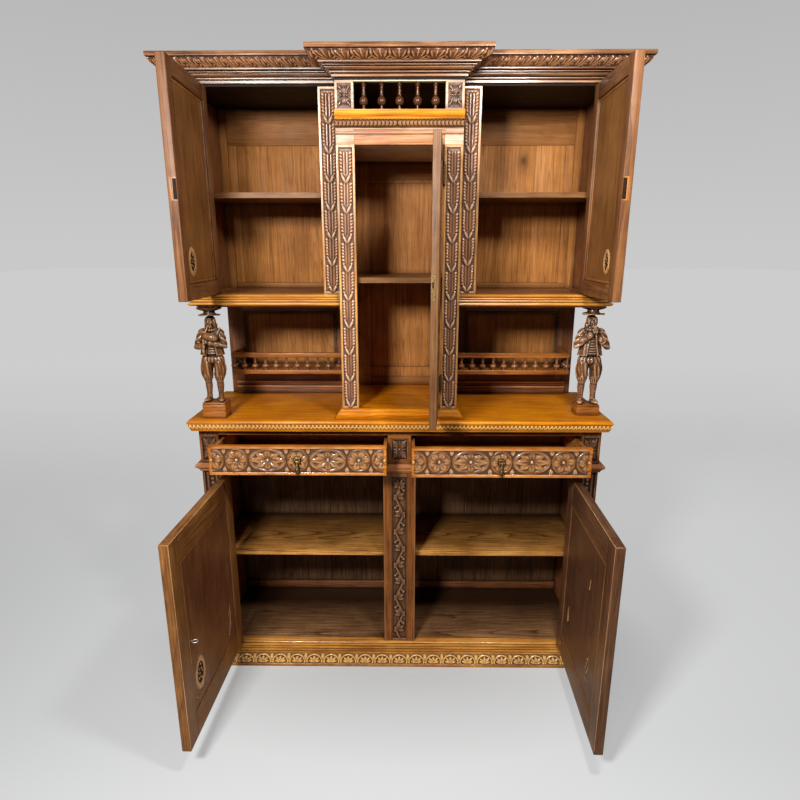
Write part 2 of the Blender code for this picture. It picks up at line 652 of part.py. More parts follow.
def build_upper_back():
    """The framed back of the upper stage, with sunk panels in the niches, the cupboards and the tower."""
    low = (-CUPBOARD_HALF_WIDTH, BACK_FACE_Y, COUNTER_TOP + GAP)
    back = part("upper_back", block(low, (CUPBOARD_HALF_WIDTH, BACK_Y, CEILING_LOW - GAP)), "inner_oak")
    deep = BACK_THICK * 0.45
    rim = DOOR_STILE
    sunk = bmesh.new()
    y0 = BACK_FACE_Y - deep
    y1 = BACK_FACE_Y + deep
    x_in = TOWER_HALF_WIDTH + rim
    x_out = CUPBOARD_HALF_WIDTH - rim
    for sign in (-1, 1):
        x0, x1 = ordered(sign * x_in, sign * x_out)
        add_block(sunk, (x0, y0, COUNTER_TOP + rim), (x1, y1, CUPBOARD_FLOOR_LOW - rim / 2))
        add_block(sunk, (x0, y0, CUPBOARD_FLOOR_TOP + rim), (x1, y1, CEILING_LOW - 2 * rim))
    half = TOWER_HALF_WIDTH - TOWER_SIDE_THICK - rim / 2
    add_block(sunk, (-half, y0, TOWER_FLOOR_TOP + rim), (half, y1, TOWER_HEAD_LOW - rim))
    boolean(back, helper("upper_back_panels", sunk), "DIFFERENCE")


def build_cupboards():
    """The two hanging cupboards: moulded floors, sides with their front stiles, carved strips and shelves."""
    thick = CUPBOARD_FLOOR_THICK
    profile = [
        (thick * 0.55, 0.0),
        (thick * 0.55, thick * 0.10),
        (thick * 0.10, thick * 0.18),
        (0.0, thick * 0.26),
        (0.0, thick * 0.42),
        (thick * 0.30, thick * 0.52),
        (thick * 0.34, thick * 0.66),
        (thick * 0.62, thick * 0.76),
        (thick * 0.66, thick * 0.88),
        (thick * 0.85, thick),
    ]
    floor_front = CUPBOARD_FRONT_Y - CUPBOARD_FLOOR_FRONT
    floor_far = CUPBOARD_HALF_WIDTH + CUPBOARD_FLOOR_SIDE
    tower_near = TOWER_HALF_WIDTH + GAP
    for hand, sign in sides():
        x0, x1 = ordered(sign * tower_near, sign * floor_far)
        low = (x0, floor_front, CUPBOARD_FLOOR_LOW)
        high = (x1, BACK_FACE_Y - GAP, CUPBOARD_FLOOR_TOP)
        floor = moulded_board(low, high, profile, (hand, "front"), CUPBOARD_FLOOR_SIDE / profile[-1][0])
        part(f"cupboard_floor_{hand}", floor, "honey_oak")
        z = (CUPBOARD_FLOOR_TOP + GAP, CEILING_LOW - GAP)
        outline = [
            (sign * CUPBOARD_HALF_WIDTH, CUPBOARD_FRONT_Y),
            (sign * CUPBOARD_HALF_WIDTH, BACK_FACE_Y - GAP),
            (sign * (CUPBOARD_HALF_WIDTH - SIDE_THICK), BACK_FACE_Y - GAP),
            (sign * (CUPBOARD_HALF_WIDTH - SIDE_THICK), CUPBOARD_FRONT_Y + FRONT_FRAME_DEPTH),
            (sign * CUPBOARD_EDGE_X, CUPBOARD_FRONT_Y + FRONT_FRAME_DEPTH),
            (sign * CUPBOARD_EDGE_X, CUPBOARD_FRONT_Y),
        ]
        side = part(f"cupboard_side_{hand}", outline_solid([outline], *z, False), "brown_oak")
        sunk_y = (CUPBOARD_FRONT_Y + DOOR_STILE, BACK_FACE_Y - DOOR_STILE)
        sunk_z = (z[0] + DOOR_STILE, z[1] - DOOR_STILE)
        near = CUPBOARD_HALF_WIDTH - SIDE_RECESS
        sunk = hand_block(sign, near, CUPBOARD_HALF_WIDTH + SIDE_RECESS, sunk_y, sunk_z)
        boolean(side, helper(f"cupboard_side_{hand}_recess", sunk), "DIFFERENCE")
        y = (CUPBOARD_FRONT_Y, CUPBOARD_FRONT_Y + FRONT_FRAME_DEPTH)
        strip = part(f"cupboard_strip_{hand}", hand_block(sign, tower_near, STRIP_EDGE_X, y, z), "carved_oak")
        rim = CUPBOARD_STRIP / 8
        sunk_y = (y[0] - CARVED_SINK, y[0] + CARVED_SINK)
        sunk_z = (z[0] + rim, z[1] - rim)
        sunk = hand_block(sign, tower_near + rim, STRIP_EDGE_X - rim, sunk_y, sunk_z)
        boolean(strip, helper(f"cupboard_strip_{hand}_field", sunk), "DIFFERENCE")
        y = (CUPBOARD_FRONT_Y + CUPBOARD_SHELF_FRONT, BACK_FACE_Y - GAP)
        shelf_low = CUPBOARD_FLOOR_TOP + CUPBOARD_SHELF_HEIGHT
        shelf_z = (shelf_low, shelf_low + SHELF_THICK)
        far = CUPBOARD_HALF_WIDTH - SIDE_THICK - GAP
        part(f"cupboard_shelf_{hand}", hand_block(sign, tower_near, far, y, shelf_z), "inner_oak")


def build_tower():
    """The middle cupboard: moulded foot, sides, carved pilasters, shelf, and the head with its open frieze."""
    half = TOWER_HALF_WIDTH + TOWER_PLINTH_OVERHANG
    tall = TOWER_PLINTH_HEIGHT
    out = TOWER_PLINTH_OVERHANG
    profile = [
        (0.0, GAP),
        (0.0, tall * 0.36),
        (out * 0.18, tall * 0.42),
        (out * 0.30, tall * 0.60),
        (out * 0.62, tall * 0.78),
        (out * 0.70, tall * 0.90),
        (out * 0.90, tall),
    ]
    low = (-half, TOWER_FRONT_Y - TOWER_PLINTH_OVERHANG, COUNTER_TOP)
    foot = moulded_board(low, (half, BACK_FACE_Y - GAP, TOWER_FLOOR_TOP), profile, ("left", "right", "front"))
    part("tower_foot", foot, "honey_oak")
    frame_back = TOWER_FRONT_Y + FRONT_FRAME_DEPTH
    inner = TOWER_HALF_WIDTH - TOWER_SIDE_THICK
    for hand, sign in sides():
        y = (frame_back + GAP, BACK_FACE_Y - GAP)
        z = (TOWER_FLOOR_TOP + GAP, CEILING_LOW - GAP)
        part(f"tower_side_{hand}", hand_block(sign, inner, TOWER_HALF_WIDTH, y, z), "inner_oak")
        y = (TOWER_FRONT_Y, frame_back)
        z = (TOWER_FLOOR_TOP + GAP, TOWER_HEAD_LOW - GAP)
        shape = hand_block(sign, TOWER_EDGE_X, TOWER_HALF_WIDTH, y, z)
        pilaster = part(f"pilaster_{hand}", shape, "carved_oak")
        rim = PILASTER_WIDTH / 7
        sunk_y = (y[0] - CARVED_SINK, y[0] + CARVED_SINK)
        sunk_z = (z[0] + rim, z[1] - rim)
        sunk = hand_block(sign, TOWER_EDGE_X + rim, TOWER_HALF_WIDTH - rim, sunk_y, sunk_z)
        boolean(pilaster, helper(f"pilaster_{hand}_field", sunk), "DIFFERENCE")
    shelf_low = TOWER_FLOOR_TOP + TOWER_SHELF_HEIGHT
    y = (TOWER_FRONT_Y + TOWER_SHELF_FRONT, BACK_FACE_Y - GAP)
    shelf = block((-inner + GAP, y[0], shelf_low), (inner - GAP, y[1], shelf_low + SHELF_THICK))
    part("tower_shelf", shelf, "inner_oak")
    build_tower_head(frame_back, inner)


def build_tower_head(frame_back, inner):
    """Door head, torus and ogee mouldings, spindle frieze and ceiling of the tower, glued up as one."""
    top = CEILING_LOW - GAP
    frieze_high = top - FRIEZE_TOP_RAIL
    frieze_low = frieze_high - FRIEZE_OPENING_HEIGHT
    half = TOWER_HALF_WIDTH
    loops = [
        rectangle(-half, half, TOWER_HEAD_LOW, top),
        rectangle(-TOWER_EDGE_X, TOWER_EDGE_X, frieze_low, frieze_high),
    ]
    head = part("tower_head", outline_solid(loops, TOWER_FRONT_Y, frame_back, True), "honey_oak")
    low = (-inner + GAP, TOWER_FRONT_Y + FRONT_FRAME_DEPTH / 2, TOWER_HEAD_LOW)
    high = (inner - GAP, BACK_FACE_Y - GAP, TOWER_HEAD_LOW + SHELF_THICK)
    boolean(head, helper("tower_ceiling", block(low, high)), "UNION")
    ogee_high = frieze_low - GAP
    ogee_low = ogee_high - OGEE_HEIGHT
    torus_low = ogee_low - TORUS_HEIGHT
    sunk = FRONT_FRAME_DEPTH / 4
    profile = [(-sunk, ogee_high), (OGEE_PROJECTION, ogee_high)]
    for i in range(5):
        turn = math.pi * i / 4
        sway = 0.5 + 0.5 * math.cos(turn)
        profile.append((OGEE_PROJECTION * (0.25 + 0.65 * sway), ogee_high - OGEE_HEIGHT * (0.12 + 0.76 * i / 4)))
    for i in range(7):
        turn = math.pi * i / 6
        profile.append((TORUS_PROJECTION * math.sin(turn) + 0.001, ogee_low - TORUS_HEIGHT * (i / 6)))
    profile.append((-sunk, torus_low))
    reach = half + MOULDING_OVERHANG
    rings = []
    for x in (-reach, reach):
        rings.append([(x, TOWER_FRONT_Y - out, z) for out, z in profile])
    boolean(head, helper("tower_mouldings", loft(rings)), "UNION")
    radius = FRIEZE_SPINDLE_RADIUS
    turned = turned_mesh(spindle_profile(radius, FRIEZE_OPENING_HEIGHT, FRIEZE_TOP_RAIL / 2), 8)
    spindles = bmesh.new()
    middle = (FRIEZE_SPINDLES - 1) / 2
    for i in range(FRIEZE_SPINDLES):
        x = (i - middle) * FRIEZE_SPINDLE_PITCH
        add_mesh(spindles, turned, (x, (TOWER_FRONT_Y + frame_back) / 2, frieze_low))
    boolean(head, helper("frieze_spindles", spindles), "UNION")


def spindle_profile(radius, tall, peg_length):
    """A small turned baluster with its belly low down, and plain pegs that run into both rails."""
    peg = radius * 0.5
    return [
        (0.0, tall + peg_length),
        (peg, tall + peg_length),
        (peg, tall * 0.94),
        (radius * 0.8, tall * 0.89),
        (radius * 0.4, tall * 0.80),
        (radius * 0.4, tall * 0.62),
        (radius, tall * 0.36),
        (radius * 0.8, tall * 0.20),
        (radius * 0.4, tall * 0.12),
        (peg, -peg_length),
        (0.0, -peg_length),
    ]


def build_gallery(hand, sign):
    """A plate shelf at the back of a niche with a spindle gallery along its front and outer end."""
    low_z = COUNTER_TOP + GALLERY_HEIGHT
    shelf_top = low_z + GALLERY_SHELF_THICK
    rail_low = shelf_top + GALLERY_SPINDLE_HEIGHT
    rail_high = rail_low + GALLERY_RAIL_HEIGHT
    near = TOWER_HALF_WIDTH + GAP
    back = BACK_FACE_Y - GAP
    front = back - GALLERY_DEPTH
    shape = hand_block(sign, near, GALLERY_END_X, (front, back), (low_z, shelf_top))
    gallery = part(f"gallery_{hand}", shape, "brown_oak")
    deep = GALLERY_RAIL_DEPTH
    outline = [
        (sign * near, front),
        (sign * GALLERY_END_X, front),
        (sign * GALLERY_END_X, back),
        (sign * (GALLERY_END_X - deep), back),
        (sign * (GALLERY_END_X - deep), front + deep),
        (sign * near, front + deep),
    ]
    peg = min(GALLERY_RAIL_HEIGHT, GALLERY_SHELF_THICK) / 3
    turned = turned_mesh(spindle_profile(GALLERY_SPINDLE_RADIUS, GALLERY_SPINDLE_HEIGHT, peg), 6)
    spindles = bmesh.new()
    pitch = GALLERY_SPINDLE_PITCH
    corner = GALLERY_END_X - deep / 2
    count = int((corner - near - pitch / 4) / pitch) + 1
    for i in range(count):
        add_mesh(spindles, turned, (sign * (corner - i * pitch), front + deep / 2, shelf_top))
    end_count = int((GALLERY_DEPTH - deep) / pitch)
    for i in range(1, end_count + 1):
        add_mesh(spindles, turned, (sign * corner, front + deep / 2 + i * pitch, shelf_top))
    boolean(gallery, helper(f"gallery_{hand}_spindles", spindles), "UNION")
    rail = outline_solid([outline], rail_low, rail_high, False)
    boolean(gallery, helper(f"gallery_{hand}_rail", rail), "UNION")


def build_crown():
    """The ceiling board over the cupboards and tower, and the breakfront cornice with its top board."""
    half = CUPBOARD_HALF_WIDTH
    tower = TOWER_HALF_WIDTH
    outline = [
        (-half, BACK_Y),
        (-half, CUPBOARD_FRONT_Y),
        (-tower, CUPBOARD_FRONT_Y),
        (-tower, TOWER_FRONT_Y),
        (tower, TOWER_FRONT_Y),
        (tower, CUPBOARD_FRONT_Y),
        (half, CUPBOARD_FRONT_Y),
        (half, BACK_Y),
    ]
    part("ceiling_board", outline_solid([outline], CEILING_LOW, CEILING_TOP, False), "inner_oak")
    out = CORNICE_PROJECTION
    tall = CORNICE_HEIGHT
    low = CORNICE_LOW
    high = CORNICE_LOW + CORNICE_HEIGHT
    board_low = high - TOP_BOARD_THICK
    profile = [
        (GAP, low),
        (out * 0.10, low),
        (out * 0.10, low + tall * 0.12),
        (out * 0.15, low + tall * 0.15),
        (out * 0.17, low + tall * 0.24),
        (out * 0.32, low + tall * 0.32),
        (out * 0.39, low + tall * 0.33),
        (out * 0.39, low + tall * 0.37),
        (out * 0.53, low + tall * 0.40),
        (out * 0.53, low + tall * 0.50),
        (out * 0.58, low + tall * 0.53),
        (out * 0.75, low + tall * 0.60),
        (out * 0.86, low + tall * 0.68),
        (out * 0.92, board_low),
        (out, board_low),
        (out, high),
        (-out, high),
        (-out, board_low),
        (out * 0.62, board_low),
        (out * 0.30, CEILING_TOP + 2 * GAP),
        (GAP, CEILING_TOP + 2 * GAP),
    ]
    cornice = part("cornice", mitred_moulding(outline, profile), "brown_oak")
    seam = out / 2
    reach = half - seam
    low_corner = (-reach, CUPBOARD_FRONT_Y + seam, board_low + GAP)
    board = block(low_corner, (reach, BACK_Y - GAP, high - GAP))
    boolean(cornice, helper("top_board", board), "UNION")
    reach = tower - seam
    low_corner = (-reach, TOWER_FRONT_Y + seam, board_low + 2 * GAP)
    tongue = block(low_corner, (reach, CUPBOARD_FRONT_Y + 3 * seam, high - 2 * GAP))
    boolean(cornice, helper("top_board_break", tongue), "UNION")


def add_ball(shape, centre, size):
    """Adds an ellipsoid of half-sizes."""
    place = Matrix.Translation(centre) @ Matrix.Diagonal((*size, 1.0))
    bmesh.ops.create_uvsphere(shape, u_segments=12, v_segments=8, radius=1.0, matrix=place)


def add_limb(shape, start, end, start_radius, end_radius):
    """Adds a tapered limb with round ends."""
    start = Vector(start)
    end = Vector(end)
    run = end - start
    turn = run.to_track_quat("Z", "Y").to_matrix().to_4x4()
    bmesh.ops.create_cone(
        shape,
        cap_ends=True,
        segments=12,
        radius1=start_radius,
        radius2=end_radius,
        depth=run.length,
        matrix=Matrix.Translation((start + end) / 2) @ turn,
    )
    add_ball(shape, start, (start_radius,) * 3)
    add_ball(shape, end, (end_radius,) * 3)


def figure_shape(tall, arms, bag):
    """A standing villager in a broad hat, jacket, full breeches and gaiters, feet at the origin."""
    shape = bmesh.new()
    for sign in (-1, 1):
        hip = (sign * 0.058 * tall, 0.0, 0.42 * tall)
        knee = (sign * 0.070 * tall, -0.010 * tall, 0.27 * tall)
        ankle = (sign * 0.070 * tall, 0.0, 0.06 * tall)
        toe = (sign * 0.085 * tall, -0.075 * tall, 0.015 * tall)
        add_limb(shape, hip, knee, 0.075 * tall, 0.062 * tall)
        add_limb(shape, knee, ankle, 0.042 * tall, 0.030 * tall)
        add_limb(shape, ankle, toe, 0.030 * tall, 0.024 * tall)
        shoulder = (sign * 0.115 * tall, 0.0, 0.775 * tall)
        elbow, hand = (tuple(tall * value for value in point) for point in arms[sign])
        add_limb(shape, shoulder, elbow, 0.042 * tall, 0.036 * tall)
        add_limb(shape, elbow, hand, 0.035 * tall, 0.028 * tall)
    add_limb(shape, (0, 0, 0.48 * tall), (0, 0, 0.72 * tall), 0.105 * tall, 0.100 * tall)
    add_limb(shape, (0, 0, 0.72 * tall), (0, 0, 0.86 * tall), 0.060 * tall, 0.045 * tall)
    add_ball(shape, (0, -0.010 * tall, 0.885 * tall), (0.055 * tall, 0.060 * tall, 0.070 * tall))
    flat = Matrix.Translation((0, 0, 0.945 * tall))
    brim = 0.112 * tall
    crown = 0.058 * tall
    bmesh.ops.create_cone(
        shape, cap_ends=True, segments=20, radius1=brim, radius2=brim, depth=0.022 * tall, matrix=flat
    )
    rise = Matrix.Translation((0, 0, 0.975 * tall))
    bmesh.ops.create_cone(
        shape, cap_ends=True, segments=16, radius1=crown, radius2=crown, depth=0.06 * tall, matrix=rise
    )
    if bag:
        add_ball(shape, (0.035 * tall, -0.095 * tall, 0.69 * tall), (0.085 * tall, 0.060 * tall, 0.075 * tall))
    return shape


def build_figure(hand, x, y, block_height, arms, bag):
    """A carved figure on its block, with the turned cap on its hat that carries the cupboard's corner."""
    foot = COUNTER_TOP + block_height
    cap_low = CUPBOARD_FLOOR_LOW - GAP - CAP_THICK
    tall = cap_low - foot
    shape = figure_shape(tall, arms, bag)
    bmesh.ops.transform(shape, matrix=Matrix.Translation((x, y, foot)), verts=shape.verts)
    figure = part(f"figure_{hand}", shape, "carved_oak")
    remesh = figure.modifiers.new("Remesh", "REMESH")
    remesh.mode = "VOXEL"
    remesh.voxel_size = tall / 85
    thin = figure.modifiers.new("Decimate", "DECIMATE")
    thin.ratio = 0.085
    base = block(
        (x - BLOCK_WIDTH / 2, y - BLOCK_DEPTH / 2, COUNTER_TOP + GAP),
        (x + BLOCK_WIDTH / 2, y + BLOCK_DEPTH / 2, foot),
    )
    boolean(figure, helper(f"figure_{hand}_block", base), "UNION")
    cap = [
        (0.0, CAP_THICK),
        (CAP_RADIUS, CAP_THICK),
        (CAP_RADIUS * 0.97, CAP_THICK * 0.5),
        (CAP_RADIUS * 0.75, CAP_THICK * 0.1),
        (CAP_RADIUS * 0.40, -CAP_THICK * 0.3),
        (0.0, -CAP_THICK * 0.3),
    ]
    disc = bmesh.new()
    add_mesh(disc, turned_mesh(cap, 20), (x, y, cap_low))
    boolean(figure, helper(f"figure_{hand}_cap", disc), "UNION")


def build_figures():
    """A piper who holds a bag of air to the chest, and a smoker with one hand raised to the pipe."""
    piper = {
        -1: ((-0.185, -0.030, 0.600), (-0.040, -0.120, 0.625)),
        1: ((0.185, -0.030, 0.615), (0.030, -0.130, 0.640)),
    }
    smoker = {
        -1: ((-0.190, -0.040, 0.610), (-0.010, -0.125, 0.780)),
        1: ((0.185, -0.010, 0.610), (0.060, -0.110, 0.690)),
    }
    build_figure("left", LEFT_FIGURE_X, LEFT_FIGURE_Y, LEFT_BLOCK_HEIGHT, piper, True)
    build_figure("right", RIGHT_FIGURE_X, RIGHT_FIGURE_Y, RIGHT_BLOCK_HEIGHT, smoker, False)


build_plinth()
build_base_case()
build_drawer_frame()
build_drawer("left", -1, DRAWER_OUT_LEFT)
build_drawer("right", 1, DRAWER_OUT_RIGHT)
build_upper_back()
build_cupboards()
build_tower()
for side_name, side_sign in sides():
    build_gallery(side_name, side_sign)
build_crown()
build_doors()
build_figures()
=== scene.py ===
"""The carved oak buffet, dressed for its picture: finishes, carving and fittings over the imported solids."""

import math

import bpy
import numpy as np
from mathutils import Matrix
from mathutils import Vector


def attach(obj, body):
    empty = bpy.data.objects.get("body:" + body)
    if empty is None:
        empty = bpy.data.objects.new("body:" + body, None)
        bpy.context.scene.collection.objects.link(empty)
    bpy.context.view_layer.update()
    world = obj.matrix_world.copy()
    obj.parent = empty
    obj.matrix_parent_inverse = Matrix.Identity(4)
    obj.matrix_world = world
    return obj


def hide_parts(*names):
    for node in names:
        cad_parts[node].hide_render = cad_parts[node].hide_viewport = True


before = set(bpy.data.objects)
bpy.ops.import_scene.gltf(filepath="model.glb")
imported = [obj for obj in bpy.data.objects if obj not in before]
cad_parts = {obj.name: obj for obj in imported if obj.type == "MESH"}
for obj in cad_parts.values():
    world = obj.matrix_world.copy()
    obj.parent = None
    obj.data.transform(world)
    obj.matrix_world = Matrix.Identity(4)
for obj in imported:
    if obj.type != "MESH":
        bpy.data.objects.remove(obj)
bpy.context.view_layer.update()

# The camera stands at eye height in front of the tower, tilted down, with the lens raised so that the
# cornice stays in the picture.
PICTURE_WIDTH = 800
FOCAL_LENGTH = 638.7
SENSOR = 36
TILT = 16.81
PAN = 0.7
bpy.ops.object.select_all(action="DESELECT")
bpy.ops.object.camera_add(
    location=(0.026, -2.239, 1.63), rotation=(math.radians(90 - TILT), 0, math.radians(PAN))
)
camera = bpy.context.object
camera.data.sensor_width = SENSOR
camera.data.lens = SENSOR * FOCAL_LENGTH / PICTURE_WIDTH
camera.data.shift_x = 0.00125
camera.data.shift_y = 0.0519
camera.data.clip_start = 0.05
bpy.context.scene.camera = camera

# The room: a pale seamless ground that takes a soft shadow and grows darker upward, and two soft boxes. The
# left one stands beside the camera, and the right one is nearer to the cabinet, as the double shadows show.
# The camera sees the ground glow, with painted shade round the cabinet's foot and painted light to the right.
bpy.context.scene.view_settings.view_transform = "Standard"


def link(tree, value, socket):
    """Feeds a socket from another socket, or sets its value."""
    if isinstance(value, bpy.types.NodeSocket):
        tree.links.new(value, socket)
    else:
        socket.default_value = value


def add_node(tree, kind, **settings):
    """A surface node with its settings; names with a capital are input sockets."""
    node = tree.nodes.new("ShaderNode" + kind)
    for key, value in settings.items():
        if key[0].isupper():
            link(tree, value, node.inputs[key.replace("_", " ")])
        else:
            setattr(node, key, value)
    return node


def ramp(tree, source, *stops):
    """A smooth scale of grey on a value, from (place, grey) stops."""
    node = add_node(tree, "ValToRGB", Fac=source)
    while len(node.color_ramp.elements) < len(stops):
        node.color_ramp.elements.new(0.5)
    for element, (place, grey) in zip(node.color_ramp.elements, stops):
        element.position = place
        element.color = (grey, grey, grey, 1)
    return node.outputs["Color"]


def mix_color(tree, factor, first, second, blend="MIX"):
    """A colour mix; each input is a socket or a value."""
    node = add_node(tree, "Mix", data_type="RGBA", blend_type=blend)
    for value, place in ((factor, 0), (first, 6), (second, 7)):
        link(tree, value, node.inputs[place])
    return node.outputs[2]


def maths(tree, operation, first, second=0.0):
    """One sum on two sockets or values."""
    node = add_node(tree, "Math", operation=operation)
    link(tree, first, node.inputs[0])
    link(tree, second, node.inputs[1])
    return node.outputs[0]


def weigh(tree, *parts):
    """The sum of some values, each times its weight."""
    total = 0.0
    for value, weight in parts:
        total = maths(tree, "ADD", total, maths(tree, "MULTIPLY", value, weight))
    return total


def share_of(tree, value, start, length):
    """How far a value lies from a start, as a share of a length."""
    return maths(tree, "DIVIDE", maths(tree, "SUBTRACT", value, start), length)


def new_tree(owner):
    """The emptied node tree of a material or a world."""
    owner.use_nodes = True
    owner.node_tree.nodes.clear()
    return owner.node_tree


def place_parts(tree, kind):
    """The x, y and z of a place."""
    place = add_node(tree, "TexCoord").outputs[kind]
    return tuple(add_node(tree, "SeparateXYZ", Vector=place).outputs)


def show(tree, lit, seen, output):
    """Ends a tree in one surface that lights other things, and one that the camera sees."""
    choose = add_node(tree, "MixShader", Fac=add_node(tree, "LightPath").outputs["Is Camera Ray"])
    tree.links.new(lit.outputs[0], choose.inputs[1])
    tree.links.new(seen.outputs[0], choose.inputs[2])
    add_node(tree, output, Surface=choose.outputs[0])


bpy.ops.mesh.primitive_plane_add(size=60, location=(0, 24.0, 0))
floor = bpy.context.object
floor.name = "floor"
floor_paint = bpy.data.materials.new("pale_ground")
tree = new_tree(floor_paint)
x, y, _ = place_parts(tree, "Object")
depth = share_of(tree, y, -27.0, 10.0)
# The camera sees the ground glow; the glow dips just before the cabinet as painted shade.
glow = ramp(tree, depth, (0.0, 0.4), (0.12, 0.375), (0.26, 0.32), (0.45, 0.44), (0.75, 0.545), (1.0, 0.578))
# Painted contact shadow: the glow darkens in an oval round the cabinet's foot.
beside = maths(tree, "POWER", share_of(tree, x, 0.0, 1.15), 2.0)
before = maths(tree, "POWER", share_of(tree, y, -23.8, 0.75), 2.0)
painted_contact_shadow = ramp(tree, maths(tree, "SQRT", maths(tree, "ADD", beside, before)), (0.25, 0.4), (1.0, 1.0))
glow = mix_color(tree, 1.0, glow, painted_contact_shadow, "MULTIPLY")
# Painted light: the near ground is darker to the left and brighter to the right, fading with distance.
painted_side_light = ramp(tree, share_of(tree, x, -2.5, 5.0), (0.1, 0.85), (0.9, 1.24))
glow = mix_color(tree, ramp(tree, depth, (0.3, 1.0), (0.6, 0.0)), glow, painted_side_light, "MULTIPLY")
own_light = add_node(tree, "Emission", Color=glow)
shade_taker = add_node(tree, "BsdfDiffuse", Color=(0.4, 0.42, 0.44, 1))
seen_ground = add_node(tree, "AddShader")
tree.links.new(own_light.outputs[0], seen_ground.inputs[0])
tree.links.new(shade_taker.outputs[0], seen_ground.inputs[1])
show(tree, add_node(tree, "BsdfDiffuse", Color=(0.6, 0.5, 0.4, 1)), seen_ground, "OutputMaterial")
floor.data.materials.append(floor_paint)

for place, aim, size, power in (
    ((-0.85, -2.39, 2.36), (0, 0.2, 1.3), 0.4, 96),
    ((0.5, -1.13, 2.4), (0, 0.2, 1.2), 0.24, 21),
):
    bpy.ops.object.light_add(type="AREA", location=place)
    lamp = bpy.context.object
    lamp.data.size = size
    lamp.data.energy = power
    lamp.data.color = (1.0, 0.97, 0.93)
    lamp.rotation_euler = (Vector(aim) - Vector(place)).to_track_quat("-Z", "Y").to_euler()

sky = bpy.data.worlds.new("soft_room")
bpy.context.scene.world = sky
tree = new_tree(sky)
room_light = add_node(tree, "Background", Color=(1.0, 0.98, 0.96, 1), Strength=0.075)
up = place_parts(tree, "Generated")[2]
seen_sky = add_node(tree, "Background", Color=ramp(tree, up, (0.0, 0.585), (0.3, 0.479)))
show(tree, room_light, seen_sky, "OutputWorld")

# Oak, the wood of the whole cabinet: growth rings, fibres, pores and blotches, drawn once as a node group.
# The carving's own relief darkens the hollows, as dark wax and painted shade, and lightens the ridges, as
# rubbed wear and painted highlight; flat edges keep a second colour.
COLOURS = ("Dark", "Wood", "Pale", "Rub And Highlight", "Edge", "Edge Pale")
grain = bpy.data.node_groups.new("oak_grain", "ShaderNodeTree")
sockets = [("Vector", "Vector"), ("Plain Vector", "Vector")]
sockets += [(colour, "Color") for colour in COLOURS]
sockets += [("Figure", "Float")]
for name, kind in sockets:
    grain.interface.new_socket(name, in_out="INPUT", socket_type="NodeSocket" + kind)
for name, kind in (("Color", "Color"), ("Roughness", "Float"), ("Height", "Float")):
    grain.interface.new_socket(name, in_out="OUTPUT", socket_type="NodeSocket" + kind)
given = grain.nodes.new("NodeGroupInput")
result = grain.nodes.new("NodeGroupOutput")


def noise(tree, place, scale, detail, roughness, distortion=0.0):
    """A cloudy texture's value."""
    settings = dict(Scale=scale, Detail=detail, Roughness=roughness, Distortion=distortion)
    return add_node(tree, "TexNoise", Vector=place, **settings).outputs["Fac"]


along_grain = given.outputs["Vector"]
rings = noise(grain, along_grain, 4.2, 1.5, 0.45, 0.35)
turns = maths(grain, "FRACT", maths(grain, "MULTIPLY", rings, 105.0))
late = maths(grain, "MULTIPLY", maths(grain, "POWER", turns, 4.0), given.outputs["Figure"])
fibre = ramp(grain, noise(grain, along_grain, 130.0, 4.0, 0.6), (0.32, 0.0), (0.68, 1.0))
pore_part = ramp(grain, noise(grain, along_grain, 330.0, 1.0, 0.5), (0.34, 1.0), (0.45, 0.0))
patina = ramp(grain, noise(grain, given.outputs["Plain Vector"], 5.0, 5.0, 0.62), (0.34, 0.0), (0.66, 1.0))
light_part = weigh(grain, (fibre, 0.5), (patina, 0.5))
no_fibre = maths(grain, "SUBTRACT", 1.0, fibre)
no_patina = maths(grain, "SUBTRACT", 1.0, patina)
dark_part = weigh(grain, (no_fibre, 0.42), (late, 0.5), (pore_part, 0.25), (no_patina, 0.3))
dark_part = maths(grain, "MINIMUM", dark_part, 0.85)
relief = add_node(grain, "Attribute", attribute_name="relief").outputs["Fac"]
edging = add_node(grain, "Attribute", attribute_name="edging").outputs["Fac"]
hollow_wax_and_shade = ramp(grain, maths(grain, "MULTIPLY", relief, -1.0), (0.02, 0.0), (0.6, 1.0))
ridge_wear_and_highlight = ramp(grain, relief, (0.1, 0.0), (0.85, 1.0))
dark, mid, pale, rub, edge, edge_pale = [given.outputs[colour] for colour in COLOURS]
mid = mix_color(grain, edging, mid, edge)
pale = mix_color(grain, edging, pale, edge_pale)
wood = mix_color(grain, light_part, mid, pale)
wood = mix_color(grain, dark_part, wood, dark)
# Painted highlight and rubbed wear: ridges of the carving lighten toward the rub colour.
wood = mix_color(grain, maths(grain, "MULTIPLY", ridge_wear_and_highlight, 0.6), wood, rub)
# Painted shade and dark wax: hollows of the carving darken toward the dark colour.
wood = mix_color(grain, maths(grain, "MULTIPLY", hollow_wax_and_shade, 0.9), wood, dark)
grain.links.new(wood, result.inputs["Color"])
grain.links.new(weigh(grain, (fibre, 0.1), (patina, -0.1), (hollow_wax_and_shade, 0.35)), result.inputs["Roughness"])
grain.links.new(weigh(grain, (fibre, 0.6), (pore_part, -0.6), (late, -0.4)), result.inputs["Height"])

STRETCH = {"x": (0.035, 1.0, 1.0), "y": (1.0, 0.035, 1.0), "z": (1.0, 1.0, 0.035)}


def shade_of(colour, share):
    """A colour at a share of its strength, with its alpha."""
    return (*[share * v for v in colour], 1)


